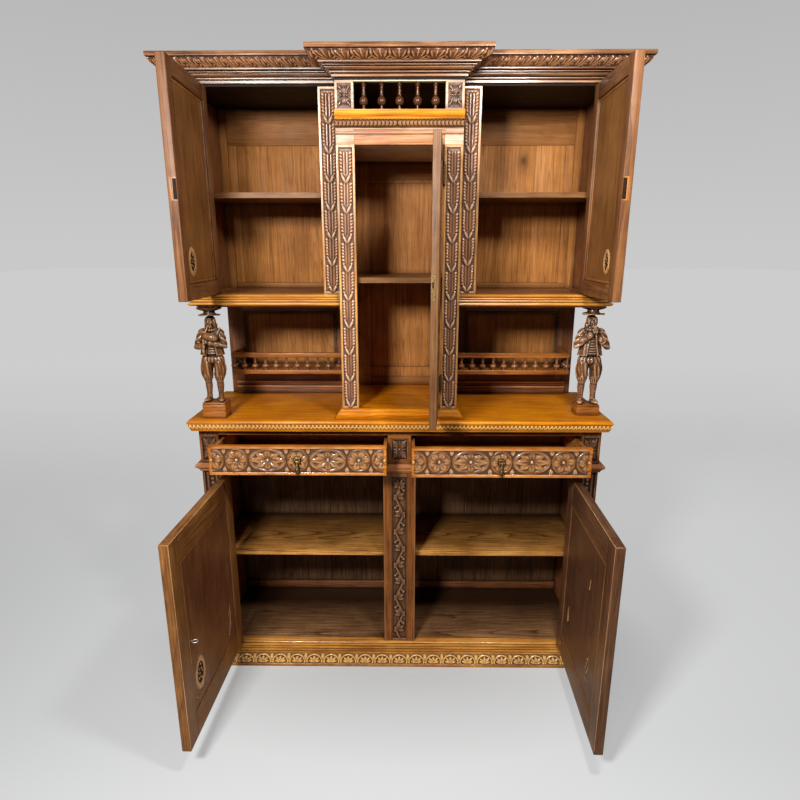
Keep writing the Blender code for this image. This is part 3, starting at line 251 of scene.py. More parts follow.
def oak(
    name, along, dark, wood, pale, roughness, rub=None, edge=None,
    shift=0.0, figure=0.6, bump=0.25, gloss=0.5, knots=0, grime=None,
):
    """An oak finish with its grain along x, y or z: dark pores, mid wood, pale fibres, and ridges pale from
    rubbing and painted highlight.
    """
    finish = bpy.data.materials.new(name)
    finish.use_nodes = True
    tree = finish.node_tree
    place = add_node(tree, "TexCoord").outputs["Object"]
    move = (shift, shift * 0.7, shift * 1.3)
    turn = add_node(tree, "Mapping", Vector=place, Scale=STRETCH[along], Location=move)
    group = tree.nodes.new("ShaderNodeGroup")
    group.node_tree = grain
    for key, colour in zip(COLOURS, (dark, wood, pale, rub or pale, *(edge or (wood, pale)))):
        group.inputs[key].default_value = (*colour, 1)
    group.inputs["Figure"].default_value = figure
    tree.links.new(turn.outputs["Vector"], group.inputs["Vector"])
    tree.links.new(place, group.inputs["Plain Vector"])
    colour = group.outputs["Color"]
    if knots:
        spread = add_node(tree, "Mapping", Vector=place, Scale=(1.0, 1.0, 0.75)).outputs["Vector"]
        away = add_node(tree, "TexVoronoi", Vector=spread, Scale=knots).outputs["Distance"]
        knot_part = ramp(tree, away, (0.02, 0.95), (0.06, 0.55), (0.11, 0.25), (0.2, 0.0))
        colour = mix_color(tree, knot_part, colour, shade_of(dark, 0.5))
    # Painted shade: the colour darkens toward the back of the board, where less light reaches inside the
    # stage.
    if grime:
        start, end, strength = grime
        behind = share_of(tree, place_parts(tree, "Object")[1], start, end - start)
        colour = mix_color(tree, ramp(tree, behind, (0.0, 0.0), (1.0, strength)), colour, shade_of(dark, 0.6))
    # Painted shade: the colour darkens where ambient occlusion finds creases, recesses and gaps between
    # parts.
    painted_crevice_shade = add_node(tree, "AmbientOcclusion", samples=5, Distance=0.022)
    depth = ramp(tree, painted_crevice_shade.outputs["AO"], (0.3, 0.85), (0.92, 0.0))
    ruffle = add_node(tree, "Bump", Strength=bump, Distance=0.0012, Height=group.outputs["Height"])
    surface = tree.nodes["Principled BSDF"].inputs
    tree.links.new(mix_color(tree, depth, colour, shade_of(dark, 0.35)), surface["Base Color"])
    tree.links.new(maths(tree, "ADD", group.outputs["Roughness"], roughness), surface["Roughness"])
    tree.links.new(ruffle.outputs["Normal"], surface["Normal"])
    surface["Specular IOR Level"].default_value = gloss
    return finish


WOOD_PARTS = ("dark", "wood", "pale", "roughness", "figure", "gloss")
WOODS = {
    "honey": ((0.2, 0.042, 0.001), (0.62, 0.185, 0.002), (0.86, 0.31, 0.005), 0.26, 0.7, 0.16),
    "gold": ((0.24, 0.07, 0.008), (0.76, 0.31, 0.042), (0.92, 0.5, 0.11), 0.3, 0.3, 0.5),
    # Pale cream oak with a painted highlight, for the tower head's frame where the lamps catch it.
    "cream": ((0.085, 0.036, 0.016), (0.76, 0.51, 0.33), (0.94, 0.72, 0.53), 0.42, 0.4, 0.3),
    # Paler oak with a painted highlight, for the waist moulding, the rail over the tower door and the niche
    # beads.
    "bright": ((0.22, 0.07, 0.02), (0.5, 0.195, 0.07), (0.66, 0.33, 0.15), 0.42, 0.4, 0.3),
    "front": ((0.085, 0.02, 0.004), (0.33, 0.095, 0.012), (0.5, 0.185, 0.034), 0.32, 0.6, 0.4),
    "brown": ((0.05, 0.015, 0.006), (0.22, 0.074, 0.025), (0.34, 0.135, 0.05), 0.36, 0.6, 0.3),
    "inner": ((0.16, 0.06, 0.015), (0.42, 0.158, 0.038), (0.56, 0.245, 0.066), 0.5, 0.55, 0.12),
    # Dark oak as painted shade: the lower stage's back boards and the mouldings round the niche panels.
    "gloomy": ((0.024, 0.01, 0.005), (0.155, 0.076, 0.034), (0.245, 0.13, 0.062), 0.55, 0.6, 0.2),
    # Near black, painted shade: for the cupboards' ceiling undersides and the dark plates in holes and slots.
    "black": ((0.006, 0.003, 0.002), (0.018, 0.009, 0.006), (0.03, 0.016, 0.01), 0.6, 0.6, 0.1),
    "plain_shelf": ((0.05, 0.016, 0.004), (0.19, 0.074, 0.018), (0.28, 0.125, 0.036), 0.45, 0.6, 0.2),
    "shelf": ((0.045, 0.015, 0.003), (0.7, 0.285, 0.056), (0.94, 0.48, 0.125), 0.46, 1.2, 0.2),
    # The two lower doors' oaks are lit and shaded copies: the right door's is darker as painted shade.
    "low_door": ((0.07, 0.022, 0.008), (0.27, 0.112, 0.028), (0.43, 0.2, 0.058), 0.4, 0.7, 0.28),
    "shaded_door": ((0.036, 0.012, 0.006), (0.128, 0.056, 0.026), (0.2, 0.098, 0.05), 0.4, 0.7, 0.28),
    "up_door": ((0.058, 0.019, 0.006), (0.205, 0.079, 0.027), (0.3, 0.135, 0.053), 0.42, 0.7, 0.25),
    "mid_door": ((0.055, 0.02, 0.007), (0.165, 0.072, 0.026), (0.25, 0.125, 0.052), 0.44, 0.7, 0.25),
    "carved": ((0.034, 0.012, 0.005), (0.26, 0.092, 0.032), (0.42, 0.19, 0.084), 0.26, 0.2, 0.55),
}
BUMPS = {"gold": 0.1, "carved": 0.08}
# Pale orange for plain edges beside the carving: the oak's own tone, paled further as painted highlight.
ORANGE = ((0.64, 0.26, 0.058), (0.86, 0.46, 0.145))
FINISH = {}


def finish(name, along, base, shift=0.0, **changes):
    """Keeps an oak finish under its name: one of the woods above, with some changes."""
    parts = dict(zip(WOOD_PARTS, WOODS[base]), bump=BUMPS.get(base, 0.25))
    if base == "carved":
        parts["rub"] = (0.8, 0.53, 0.34)
    FINISH[name] = oak(name, along, shift=shift, **{**parts, **changes})


finish("honey_oak_long", "x", "honey")
finish("honey_oak_cut", "x", "gold", 2.5, gloss=0.2, rub=(0.95, 0.66, 0.26), edge=WOODS["honey"][1:3])
finish(
    "golden_oak_cut", "x", "gold", 0.9, roughness=0.22, dark=(0.13, 0.038, 0.005), wood=(0.8, 0.35, 0.054),
    pale=(0.96, 0.55, 0.13), rub=(1.0, 0.76, 0.38), edge=((0.62, 0.225, 0.026), (0.88, 0.43, 0.09)),
)
finish("ogee_oak", "x", "gold", 0.3, wood=(0.84, 0.28, 0.008), pale=(1.0, 0.42, 0.022))
finish("ledge_oak", "x", "gold", 0.6, wood=(0.62, 0.24, 0.024), pale=(0.84, 0.4, 0.06))
finish("worn_oak", "z", "gold", 23.0, wood=(0.6, 0.35, 0.14), pale=(0.78, 0.52, 0.25))
finish("cream_highlight_oak_long", "x", "cream", 0.7)
finish("pale_highlight_oak_long", "x", "bright", 0.2)
finish("front_oak_long", "x", "front", 1.0)
finish("brown_oak_tall", "z", "brown", 3.0)
finish("brown_oak_long", "x", "brown", 3.5)
finish("inner_oak_tall", "z", "inner", 5.0, knots=3.6)
finish("inner_oak_long", "x", "inner", 6.0, wood=(0.27, 0.104, 0.029), pale=(0.37, 0.165, 0.053))
finish("inner_oak_deep", "y", "inner", 7.0)
finish("shade_dark_oak_tall", "z", "gloomy", 5.5)
finish("shade_dark_oak_long", "x", "gloomy", 6.5)
finish("shade_black_oak", "x", "black")
finish("hole_shade_oak", "z", "black", 24.0, rub=(0.3, 0.18, 0.09))
finish("plain_shelf_oak", "x", "plain_shelf", 6.2)
# The base's shelf and floor darken toward the back as painted shade.
finish("shelf_oak_long", "x", "shelf", 7.5, grime=(0.06, 0.44, 0.95))
finish(
    "floor_oak_long", "x", "shelf", 7.7, grime=(0.06, 0.34, 0.95),
    dark=(0.036, 0.014, 0.006), wood=(0.26, 0.12, 0.046), pale=(0.42, 0.22, 0.1),
)
finish("carved_oak_tall", "z", "carved", 8.0, dark=(0.075, 0.031, 0.015), edge=ORANGE)
finish(
    "carved_oak_stile", "z", "carved", 11.0, gloss=0.3, dark=(0.012, 0.005, 0.002), wood=(0.12, 0.046, 0.017),
    pale=(0.21, 0.092, 0.04), rub=(0.34, 0.19, 0.1), edge=((0.215, 0.058, 0.007), (0.32, 0.105, 0.016)),
)
finish(
    "carved_oak_drawer", "x", "carved", 12.0, roughness=0.2, figure=0.1, gloss=0.9,
    dark=(0.036, 0.012, 0.003), wood=(0.27, 0.092, 0.02), pale=(0.4, 0.165, 0.046), rub=(0.84, 0.5, 0.24),
    edge=((0.6, 0.155, 0.008), (0.78, 0.27, 0.022)),
)
# The cornice's plain fillets take pale edge colours as painted highlight.
finish(
    "carved_oak_cornice", "x", "carved", 13.0, dark=(0.016, 0.005, 0.002), wood=(0.2, 0.062, 0.019),
    pale=(0.34, 0.13, 0.046), rub=(0.6, 0.32, 0.16), edge=((0.27, 0.086, 0.024), (0.62, 0.32, 0.15)),
)
finish(
    "carved_oak_torus", "x", "carved", 14.0, roughness=0.36, gloss=0.3, wood=(0.19, 0.066, 0.018),
    pale=(0.31, 0.128, 0.04), rub=(0.46, 0.26, 0.12), edge=((0.3, 0.11, 0.03), (0.45, 0.2, 0.07)),
)
# The figures' oaks are lit and shaded copies: the piper's darker as painted shade, the smoker's paler with
# brighter ridges as painted light.
finish(
    "piper_oak", "z", "carved", 15.5, gloss=0.5, dark=(0.007, 0.003, 0.001), wood=(0.13, 0.042, 0.011),
    pale=(0.23, 0.086, 0.026), rub=(0.36, 0.2, 0.095),
)
finish(
    "smoker_oak", "z", "carved", 15.0, gloss=0.8, roughness=0.22, dark=(0.008, 0.003, 0.001),
    wood=(0.19, 0.062, 0.016), pale=(0.31, 0.118, 0.036), rub=(0.72, 0.46, 0.27),
)
finish(
    "turned_oak", "z", "carved", 16.0, gloss=0.35, wood=(0.075, 0.025, 0.008), pale=(0.14, 0.052, 0.018),
    rub=(0.24, 0.11, 0.05),
)
for look, shift, panel, bead_wood, bead in (
    ("low", 17.0, dict(wood=(0.2, 0.07, 0.028), pale=(0.3, 0.125, 0.055)),
     "front", dict(wood=(0.36, 0.15, 0.045), pale=(0.54, 0.28, 0.11))),
    # The right lower door: a darker copy of the left's, painted shade.
    ("shaded", 17.5, dict(wood=(0.11, 0.046, 0.022), pale=(0.17, 0.082, 0.042)), "low_door", {}),
    ("up", 20.0, dict(dark=(0.09, 0.032, 0.008), wood=(0.255, 0.104, 0.029), pale=(0.37, 0.172, 0.052)),
     "front", dict(wood=(0.42, 0.15, 0.03), pale=(0.6, 0.27, 0.075))),
    ("mid", 20.5, {}, "up_door", {}),
):
    finish(f"{look}_door_oak_tall", "z", f"{look}_door", shift)
    finish(f"{look}_door_oak_panel", "z", f"{look}_door", shift + 0.2, **panel)
    finish(f"{look}_door_oak_deep", "y", f"{look}_door", shift + 1.0)
    finish(f"{look}_door_oak_bead", "z", bead_wood, shift + 2.0, **bead)

brass = bpy.data.materials.new("old_brass")
brass.use_nodes = True
tree = brass.node_tree
surface = tree.nodes["Principled BSDF"].inputs
surface["Metallic"].default_value = 1.0
tarnish = noise(tree, add_node(tree, "TexCoord").outputs["Object"], 220.0, 4.0, 0.6)
spots = ramp(tree, tarnish, (0.35, 0.0), (0.62, 1.0))
tree.links.new(mix_color(tree, spots, (0.05, 0.028, 0.012, 1), (0.42, 0.27, 0.11, 1)), surface["Base Color"])
tree.links.new(ramp(tree, tarnish, (0.3, 0.55), (0.7, 0.3)), surface["Roughness"])
steel = bpy.data.materials.new("dull_steel")
steel.use_nodes = True
surface = steel.node_tree.nodes["Principled BSDF"].inputs
surface["Base Color"].default_value = (0.62, 0.6, 0.58, 1)
surface["Metallic"].default_value = 0.8
surface["Roughness"].default_value = 0.38
FINISH.update(old_brass=brass, dull_steel=steel)

# The cupboard ceilings take near-black oak, and the lower stage's back dark oak, as painted shade.
SOLID_FINISHES = {
    "waist_moulding": "pale_highlight_oak_long", "drawer_frame": "front_oak_long", "ceiling_board": "shade_black_oak",
    "base_shelf": "shelf_oak_long", "base_floor": "floor_oak_long", "base_back": "shade_dark_oak_tall",
    "tower_shelf": "plain_shelf_oak", "cupboard_shelf_left": "plain_shelf_oak",
    "cupboard_shelf_right": "plain_shelf_oak", "upper_back": "inner_oak_tall",
    "tower_side_left": "inner_oak_tall", "tower_side_right": "inner_oak_tall",
    "drawer_left_box": "inner_oak_deep", "drawer_right_box": "inner_oak_deep",
}
for node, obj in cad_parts.items():
    look = "old_brass" if "hinge" in node else SOLID_FINISHES.get(node, "brown_oak_tall")
    obj.data.materials.clear()
    obj.data.materials.append(FINISH[look])


# The plinth: a mitred oak frame that carries the lower stage, run with a moulding and carved along its
# band with fan leaves under small arches. It is glued and pinned under the floor board.
SIDES = (("left", -1), ("right", 1))


def mm(*pairs):
    """Pairs of millimetres as metres."""
    return [(round(a / 1000, 6), round(b / 1000, 6)) for a, b in pairs]


def unit(values):
    """Values held between 0 and 1."""
    return np.clip(values, 0.0, 1.0)


def lay(name, points, **marks):
    """A mesh grid shaped to an array of points, rows by columns, with marks such as its relief kept on it."""
    rows, columns = points.shape[:2]
    bpy.ops.object.select_all(action="DESELECT")
    bpy.ops.mesh.primitive_grid_add(x_subdivisions=columns - 1, y_subdivisions=rows - 1, size=1)
    made = bpy.context.object
    made.name = made.data.name = name
    made.data.vertices.foreach_set("co", np.ascontiguousarray(points, np.float32).ravel())
    for mark, values in marks.items():
        tag = made.data.attributes.new(mark, "FLOAT", "POINT")
        tag.data.foreach_set("value", np.ascontiguousarray(values, np.float32).ravel())
    return made


def close(made, look, nodes=(), angle=50, body="case"):
    """Merges the seams, closes the holes, turns the faces out, and gives a piece its finish and carrier."""
    bpy.ops.object.select_all(action="DESELECT")
    made.select_set(True)
    bpy.context.view_layer.objects.active = made
    bpy.ops.object.mode_set(mode="EDIT")
    bpy.ops.mesh.select_all(action="SELECT")
    bpy.ops.mesh.remove_doubles(threshold=0.00001)
    bpy.ops.mesh.fill_holes(sides=0)
    bpy.ops.mesh.normals_make_consistent(inside=False)
    bpy.ops.object.mode_set(mode="OBJECT")
    bpy.ops.object.shade_smooth_by_angle(angle=math.radians(angle))
    made.data.materials.append(FINISH[look])
    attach(made, body)
    if nodes:
        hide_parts(*nodes)


def steps(low, high, cell):
    """Evenly spaced places from low to high, about a cell apart."""
    return np.linspace(low, high, max(2, int(round((high - low) / cell)) + 1))


def field(x, z):
    """A flat ground to carve on, with its places across and up, its heights and what is left plain."""
    return {"x": x, "z": z, "h": np.zeros((len(z), len(x))), "plain": np.zeros((len(z), len(x)))}


def stamp(ground, x, z, reach, shape):
    """Raises the ground to a shape wherever the shape stands higher."""
    i0, i1 = np.searchsorted(ground["x"], (x - reach, x + reach))
    j0, j1 = np.searchsorted(ground["z"], (z - reach, z + reach))
    if i1 > i0 and j1 > j0:
        across, up = np.meshgrid(ground["x"][i0:i1] - x, ground["z"][j0:j1] - z)
        part = ground["h"][j0:j1, i0:i1]
        np.maximum(part, shape(across, up), out=part)


def leaf(ground, x, z, length, width, angle, rise, vein=0.4, lobes=0, blunt=0.75):
    """A carved leaf from its root at (x, z), at an angle from straight up, with a vein, lobes and a tip."""
    turn = math.radians(angle)
    lean, lift = math.sin(turn), math.cos(turn)

    def shape(across, up):
        along = (across * lean + up * lift) / length
        beside = across * lift - up * lean
        inside = unit(along)
        half = 0.5 * width * np.sin(math.pi * inside**blunt) ** 0.7
        if lobes:
            half = half * (0.86 + 0.14 * np.cos(2 * math.pi * lobes * inside))
        spread = np.abs(beside) / np.maximum(half, 1e-6)
        body = np.sqrt(unit(1.0 - spread**2)) * (0.55 + 0.45 * np.sin(math.pi * inside))
        groove = vein * np.exp(-((beside / (0.13 * width)) ** 2)) * (1.0 - inside)
        return np.where((along > 0) & (along < 1), rise * body * (1.0 - groove), 0.0)

    stamp(ground, x, z, length + width, shape)


def dome(ground, x, z, wide, tall, rise):
    """A carved bead or boss, with its half-sizes."""

    def shape(across, up):
        return rise * np.sqrt(unit(1.0 - (across / wide) ** 2 - (up / tall) ** 2))

    stamp(ground, x, z, max(wide, tall) * 1.05, shape)


def rim(ground, x, z, wide, tall, thick, rise):
    """A rounded raised band round an oval."""

    def shape(across, up):
        reach = np.hypot(across / wide, up / tall)
        away = (reach - 1.0) * np.hypot(across, up) / np.maximum(reach, 1e-6)
        return rise * np.sqrt(unit(1.0 - (away / (0.5 * thick)) ** 2))

    stamp(ground, x, z, max(wide, tall) + thick, shape)


def hollows(heights, cells, scale):
    """How far each place stands above or below the carving round it, from -1 to 1."""
    soft = heights
    width = 2 * cells + 1
    for turn in range(4):
        run = np.cumsum(np.pad(soft, ((cells + 1, cells), (0, 0)), mode="edge"), axis=0)
        soft = (run[width:] - run[:-width]) / width
        if turn % 2:
            soft = soft.T
    return np.clip((heights - soft) / scale, -1.0, 1.0)


def fine(profile, cell, band):
    """A moulding's profile with points added where a band is carved, and the way that each point faces."""
    places = []
    for (a0, b0), (a1, b1) in zip(profile[:-1], profile[1:]):
        count = 1
        if band and b1 >= b0 and band[0] < (b0 + b1) / 2 < band[1]:
            count = max(1, int(round(math.hypot(a1 - a0, b1 - b0) / cell)))
        for i in range(count):
            places.append((a0 + (a1 - a0) * i / count, b0 + (b1 - b0) * i / count))
    places = np.array(places + [profile[-1]])
    run = np.gradient(places, axis=0)
    facing = np.stack([run[:, 1], -run[:, 0]], axis=1)
    return places, facing / np.maximum(np.linalg.norm(facing, axis=1, keepdims=True), 1e-9)


def legs(path, cell):
    """The columns of a run along a path: where each stands, its mitre, its place on its leg, and its leg."""
    corners = [np.array(p, float) for p in path]
    sides = []
    for a, b in zip(corners[:-1], corners[1:]):
        way = (b - a) / np.linalg.norm(b - a)
        sides.append(np.array((way[1], -way[0])))
    mitres = [sides[0]]
    for a, b in zip(sides[:-1], sides[1:]):
        mitres.append((a + b) / (1.0 + a @ b))
    mitres.append(sides[-1])
    base, reach, along, leg = [], [], [], []
    for i in range(len(sides)):
        length = np.linalg.norm(corners[i + 1] - corners[i])
        share = np.linspace(0, 1, max(2, int(round(length / cell)) + 1))
        if i < len(sides) - 1:
            share = share[:-1]
        for t in share:
            base.append(corners[i] * (1 - t) + corners[i + 1] * t)
            reach.append(mitres[i] * (1 - t) + mitres[i + 1] * t)
            along.append((t - 0.5) * length)
            leg.append(i)
    return np.array(base), np.array(reach), np.array(along), np.array(leg)


def run_moulding(name, path, profile, cell=0.05, band=None, pattern=None, cells=4, scale=0.0012):
    """A moulding run along a mitred path. A pattern, if any, is carved leg by leg on a band of its levels."""
    places, facing = fine(profile, cell, band)
    base, reach, along, leg = legs(path, cell)
    heights = np.zeros((len(places), len(base)))
    flat = np.ones_like(heights)
    if band:
        rows = np.where((places[:, 1] >= band[0]) & (places[:, 1] <= band[1]))[0]
        rows = rows[: np.argmax(np.diff(np.append(rows, -9)) != 1) + 1]
        rise = np.append(0.0, np.cumsum(np.linalg.norm(np.diff(places[rows], axis=0), axis=1)))
        for i in np.unique(leg):
            columns = np.where(leg == i)[0]
            ground = field(along[columns], rise)
            pattern(ground, rise[-1])
            heights[np.ix_(rows, columns)] = ground["h"]
        flat[rows] = 0.0
    offset = places[:, 0:1] + heights * facing[:, 0:1]
    points = np.empty((len(places), len(base), 3))
    points[:, :, :2] = base[None] + offset[:, :, None] * reach[None]
    points[:, :, 2] = places[:, 1:2] + heights * facing[:, 1:2]
    return lay(name, points, relief=hollows(heights, cells, scale), edging=flat)


def repeats(ground, pitch):
    """The middles of a pattern that repeats along a band, even about the band's own middle."""
    count = int(ground["x"][-1] / pitch) + 1
    return [k * pitch for k in range(-count, count + 1)]


def round_three_sides(half, front, back):
    """A path along the left end, the front and the right end."""
    return [(-half, back), (-half, front), (half, front), (half, back)]


def arches(ground, tall):
    """Small arches, each with a fan of five leaves and a bead, and a drop between neighbours."""
    pitch = 0.066
    for x in repeats(ground, pitch):
        rim(ground, x, 0.1 * tall, 0.0285, tall * 0.8, 0.006, 0.0044)
        for angle in (-72, -38, 0, 38, 72):
            leaf(ground, x, 0.06 * tall, tall * (0.72 if abs(angle) < 60 else 0.55), 0.012, angle, 0.005)
        dome(ground, x, 0.1 * tall, 0.0055, 0.0055, 0.004)
        leaf(ground, x + pitch / 2, tall, tall * 0.8, 0.014, 180, 0.0046)
        dome(ground, x + pitch / 2, 0.12 * tall, 0.0035, 0.0045, 0.0026)


FRONT = 0.025
WALL = 0.4607
profile = mm(
    (-20, 0), (40, 0), (40, 11), (38.5, 12.5), (34.5, 14), (34.5, 15), (32.5, 56), (34, 58.5),
    (37.5, 61), (38.2, 65), (37.5, 68.5), (31.5, 69), (31.5, 70.8), (34.5, 71.2), (34, 74), (27, 75),
    (23, 75.3), (23, 77.2), (26.8, 77.6), (26, 80.6), (20, 82.2), (16, 82.5), (16, 84.3), (19.5, 84.7),
    (18.8, 87.2), (13, 89), (7.8, 89.3), (7.8, 91.1), (10.6, 91.5), (9.8, 93.8), (4, 96.5), (-20, 97),
    (-20, 74.7), (-42, 74.7), (-42, 0), (-20, 0),
)
path = round_three_sides(0.743, FRONT, WALL)
plinth = run_moulding("plinth_frame", path, profile, 0.0016, (0.0148, 0.0562), arches, 4, 0.0026)
close(plinth, "golden_oak_cut", ["plinth"])


# The corner posts: solid oak posts that run from the plinth to the countertop, carved on the front with a
# leaf cross at drawer level and a rope of pearls below the waist. They are tenoned into the frame.
def carved_board(name, ground, front_y, back_y, cells=4, scale=0.0012):
    """A board with the carved ground as its front, sunk where that says so, plain edges and a flat back."""
    across, up = np.meshgrid(ground["x"], ground["z"])
    points = np.stack([across, front_y - ground["h"] + ground.get("sink", 0.0), up], axis=2)
    points = np.pad(points, ((1, 1), (1, 1), (0, 0)), mode="edge")
    points[0, :, 1] = points[-1, :, 1] = back_y
    points[:, 0, 1] = points[:, -1, 1] = back_y
    relief = np.pad(hollows(ground["h"], cells, scale), 1)
    return lay(name, points, relief=relief, edging=np.pad(ground["plain"], 1, constant_values=1.0))


def depth_inside(ground, x0, x1, z0, z1):
    """How far each place lies inside a rectangle."""
    across = np.minimum(ground["x"] - x0, x1 - ground["x"])
    up = np.minimum(ground["z"] - z0, z1 - ground["z"])
    return np.minimum(across[None, :], up[:, None])


def raise_plain(ground, inside, rise, ease):
    """Raises a plain part, given how far each place lies inside it, with an eased edge."""
    np.maximum(ground["h"], rise * np.sqrt(unit(inside / ease)), out=ground["h"])
    ground["plain"][inside > 0] = 1.0


def border(ground, wide, rise):
    """A plain raised border all round the ground."""
    edge = depth_inside(ground, ground["x"][0], ground["x"][-1], ground["z"][0], ground["z"][-1])
    raise_plain(ground, wide - edge, rise, 0.0015)


def leaf_cross(ground, x, z, half_wide, half_tall, rise, broad=1.0):
    """Leaves that spread from a bead to the corners and sides of a block."""
    corner = math.degrees(math.atan2(half_wide, half_tall))
    reach = math.hypot(half_wide, half_tall)
    for base in (-corner, 180 + corner, corner, 180 - corner):
        for fan, long, wide, high in ((-17, 0.74, 0.24, 0.75), (17, 0.74, 0.24, 0.75), (0, 0.98, 0.36, 1.0)):
            wide *= reach * broad
            leaf(ground, x, z, reach * long, wide, base + fan, rise * high, lobes=3, blunt=1.15)
    for angle, long in ((0, half_tall), (180, half_tall), (90, half_wide), (-90, half_wide)):
        leaf(ground, x, z, long * 0.85, reach * 0.15, angle, rise * 0.7)
    dome(ground, x, z, reach * 0.12, reach * 0.12, rise * 1.15)


def pearls(ground, x, z0, z1, pitch, radius, rise):
    """A string of round beads, one above the other."""
    count = int((z1 - z0) / pitch)
    for k in range(count):
        dome(ground, x, z0 + (k + 0.5) * (z1 - z0) / count, radius, radius, rise)


def rope(ground, x, z0, z1, wide, pitch, rise):
    """A twisted rope, carved as slanting strands."""
    for k in range(int((z1 - z0) / pitch) + 1):
        leaf(ground, x - wide * 0.55, z0 + k * pitch - pitch, wide * 1.5, pitch * 1.25, 47, rise, vein=0.0)


def between(sign, near, far):
    """Two distances from the middle as a low and a high place on one side."""
    return sorted((sign * near, sign * far))


BASE_LOW = 0.0973
POST_TOP = 0.9947
for hand, sign in SIDES:
    x = steps(*between(sign, 0.672, 0.743), 0.0013)
    ground = field(x, steps(BASE_LOW, POST_TOP, 0.0015))
    middle = sign * 0.7075
    border(ground, 0.009, 0.004)
    for low, high in ((0.826, 0.872), (0.962, POST_TOP)):
        raise_plain(ground, depth_inside(ground, x[0], x[-1], low, high), 0.004, 0.0015)
    leaf_cross(ground, middle, 0.917, 0.025, 0.043, 0.0045)
    pearls(ground, middle, 0.12, 0.822, 0.0165, 0.0068, 0.0048)
    for side in (-1, 1):
        rope(ground, middle + side * 0.0165, 0.118, 0.824, 0.009, 0.008, 0.0036)
    post = carved_board(f"corner_post_carving_{hand}", ground, 0.029, 0.073, 4, 0.0024)
    # The posts take the darker stile oak as painted shade, for the shade of the open doors and drawers.
    close(post, "carved_oak_stile", [f"corner_post_{hand}"])

# The middle stile, against which both lower doors shut: flat oak edges with a carved strip let in between,
# a vine that winds up to a small fan of leaves.
STILE_HALF = 0.062
STILE_TOP = 0.8197
x = steps(-STILE_HALF, STILE_HALF, 0.0013)
ground = field(x, steps(BASE_LOW, STILE_TOP, 0.0014))
for flat_part in (
    (-STILE_HALF, -0.0275, BASE_LOW, STILE_TOP),
    (0.0275, STILE_HALF, BASE_LOW, STILE_TOP),
    (-STILE_HALF, STILE_HALF, BASE_LOW, 0.108),
    (-STILE_HALF, STILE_HALF, 0.806, STILE_TOP),
):
    raise_plain(ground, depth_inside(ground, *flat_part), 0.0035, 0.001)
for side in (-1, 1):
    near = np.abs(x - side * 0.0315)[None, :] < 0.0016
    ground["h"] = np.where(near, 0.0022, ground["h"])
for angle, long in ((-78, 0.022), (-46, 0.028), (-17, 0.034), (17, 0.034), (46, 0.028), (78, 0.022)):
    leaf(ground, 0.0, 0.764, long, 0.0125, angle, 0.0056, blunt=1.1)
dome(ground, 0.0, 0.764, 0.007, 0.007, 0.006)
PITCH = 0.072
for k in range(9):
    low = 0.112 + k * PITCH
    side = 1 if k % 2 else -1
    for i in range(14):
        share = i / 13
        dome(ground, side * 0.012 * math.sin(math.pi * share), low + share * PITCH, 0.0046, 0.0054, 0.0046)
    for angle, long, wide in ((-58, 0.03, 0.021), (-100, 0.028, 0.02), (-18, 0.034, 0.019)):
        leaf(ground, side * 0.009, low + PITCH / 2, long, wide, side * angle, 0.006, lobes=3, blunt=1.1)
    for angle, long in ((42, 0.017), (88, 0.015), (130, 0.016)):
        leaf(ground, side * 0.01, low + 0.034, long, 0.011, side * angle, 0.005, blunt=1.1)
    for across, up, radius in ((-0.016, 0.064, 0.0062), (-0.009, PITCH, 0.0052)):
        dome(ground, side * across, low + up, radius, radius, 0.0052)
stile = carved_board("centre_stile_carving", ground, 0.0285, 0.065, 4, 0.0022)
close(stile, "carved_oak_stile", ["centre_stile"])

# The block between the drawers carries a leaf cross like the posts'. It is carved on a thin tablet that is
# glued into the sunk front of the drawer frame.
ground = field(steps(-0.0325, 0.0325, 0.0011), steps(0.8727, 0.9593, 0.0011))
border(ground, 0.005, 0.0028)
leaf_cross(ground, 0.0, 0.916, 0.027, 0.038, 0.0042)
close(carved_board("drawer_block_carving", ground, 0.0245, 0.0262), "carved_oak_stile")


# The countertop: a thick moulded oak top, waxed honey orange, with a row of chip-cut leaves along its front
# edge and ends. It lies on the drawer frame and is pegged from below.
def run_board(name, path, profile, cell=0.05, *carving):
    """A board whose edge is a moulding run round a path; its top, bottom and back are flat."""
    made = run_moulding(name, path, profile, cell, *carving)
    columns = len(legs(path, cell)[0])
    for first in (0, len(made.data.vertices) - columns):
        bpy.ops.object.mode_set(mode="EDIT")
        bpy.ops.mesh.select_all(action="DESELECT")
        bpy.ops.object.mode_set(mode="OBJECT")
        chosen = np.zeros(len(made.data.vertices), bool)
        chosen[first : first + columns] = True
        made.data.vertices.foreach_set("select", chosen)
        bpy.ops.object.mode_set(mode="EDIT")
        bpy.ops.mesh.select_mode(type="VERT")
        bpy.ops.mesh.edge_face_add()
        bpy.ops.object.mode_set(mode="OBJECT")
    return made


def chips(ground, tall):
    """Small slanting leaf cuts, crossed like a plait."""
    pitch = 0.0072
    for k, x in enumerate(repeats(ground, pitch)):
        side = 1 if k % 2 else -1
        root = x - side * tall * 0.26
        leaf(ground, root, 0.04 * tall, tall * 1.1, 0.0066, side * 34, 0.0026, vein=0.2, blunt=1.0)
        dome(ground, x + pitch / 2, (0.5 + 0.32 * side) * tall, 0.0024, 0.0024, 0.0024)


profile = mm(
    (-20, 995.3), (-11, 995.3), (-10.5, 999), (-9, 1001.2), (-8.6, 1003), (-6.2, 1010), (-3.4, 1023),
    (-1, 1023.8), (0, 1025.5), (0, 1029.5), (-1.2, 1032.5), (-4, 1035), (-8, 1036), (-20, 1036),
)
path = round_three_sides(0.767, -0.027, 0.476)
top = run_board("countertop_board", path, profile, 0.0014, (1.0028, 1.0232), chips, 3, 0.0016)
close(top, "honey_oak_cut", ["countertop"])


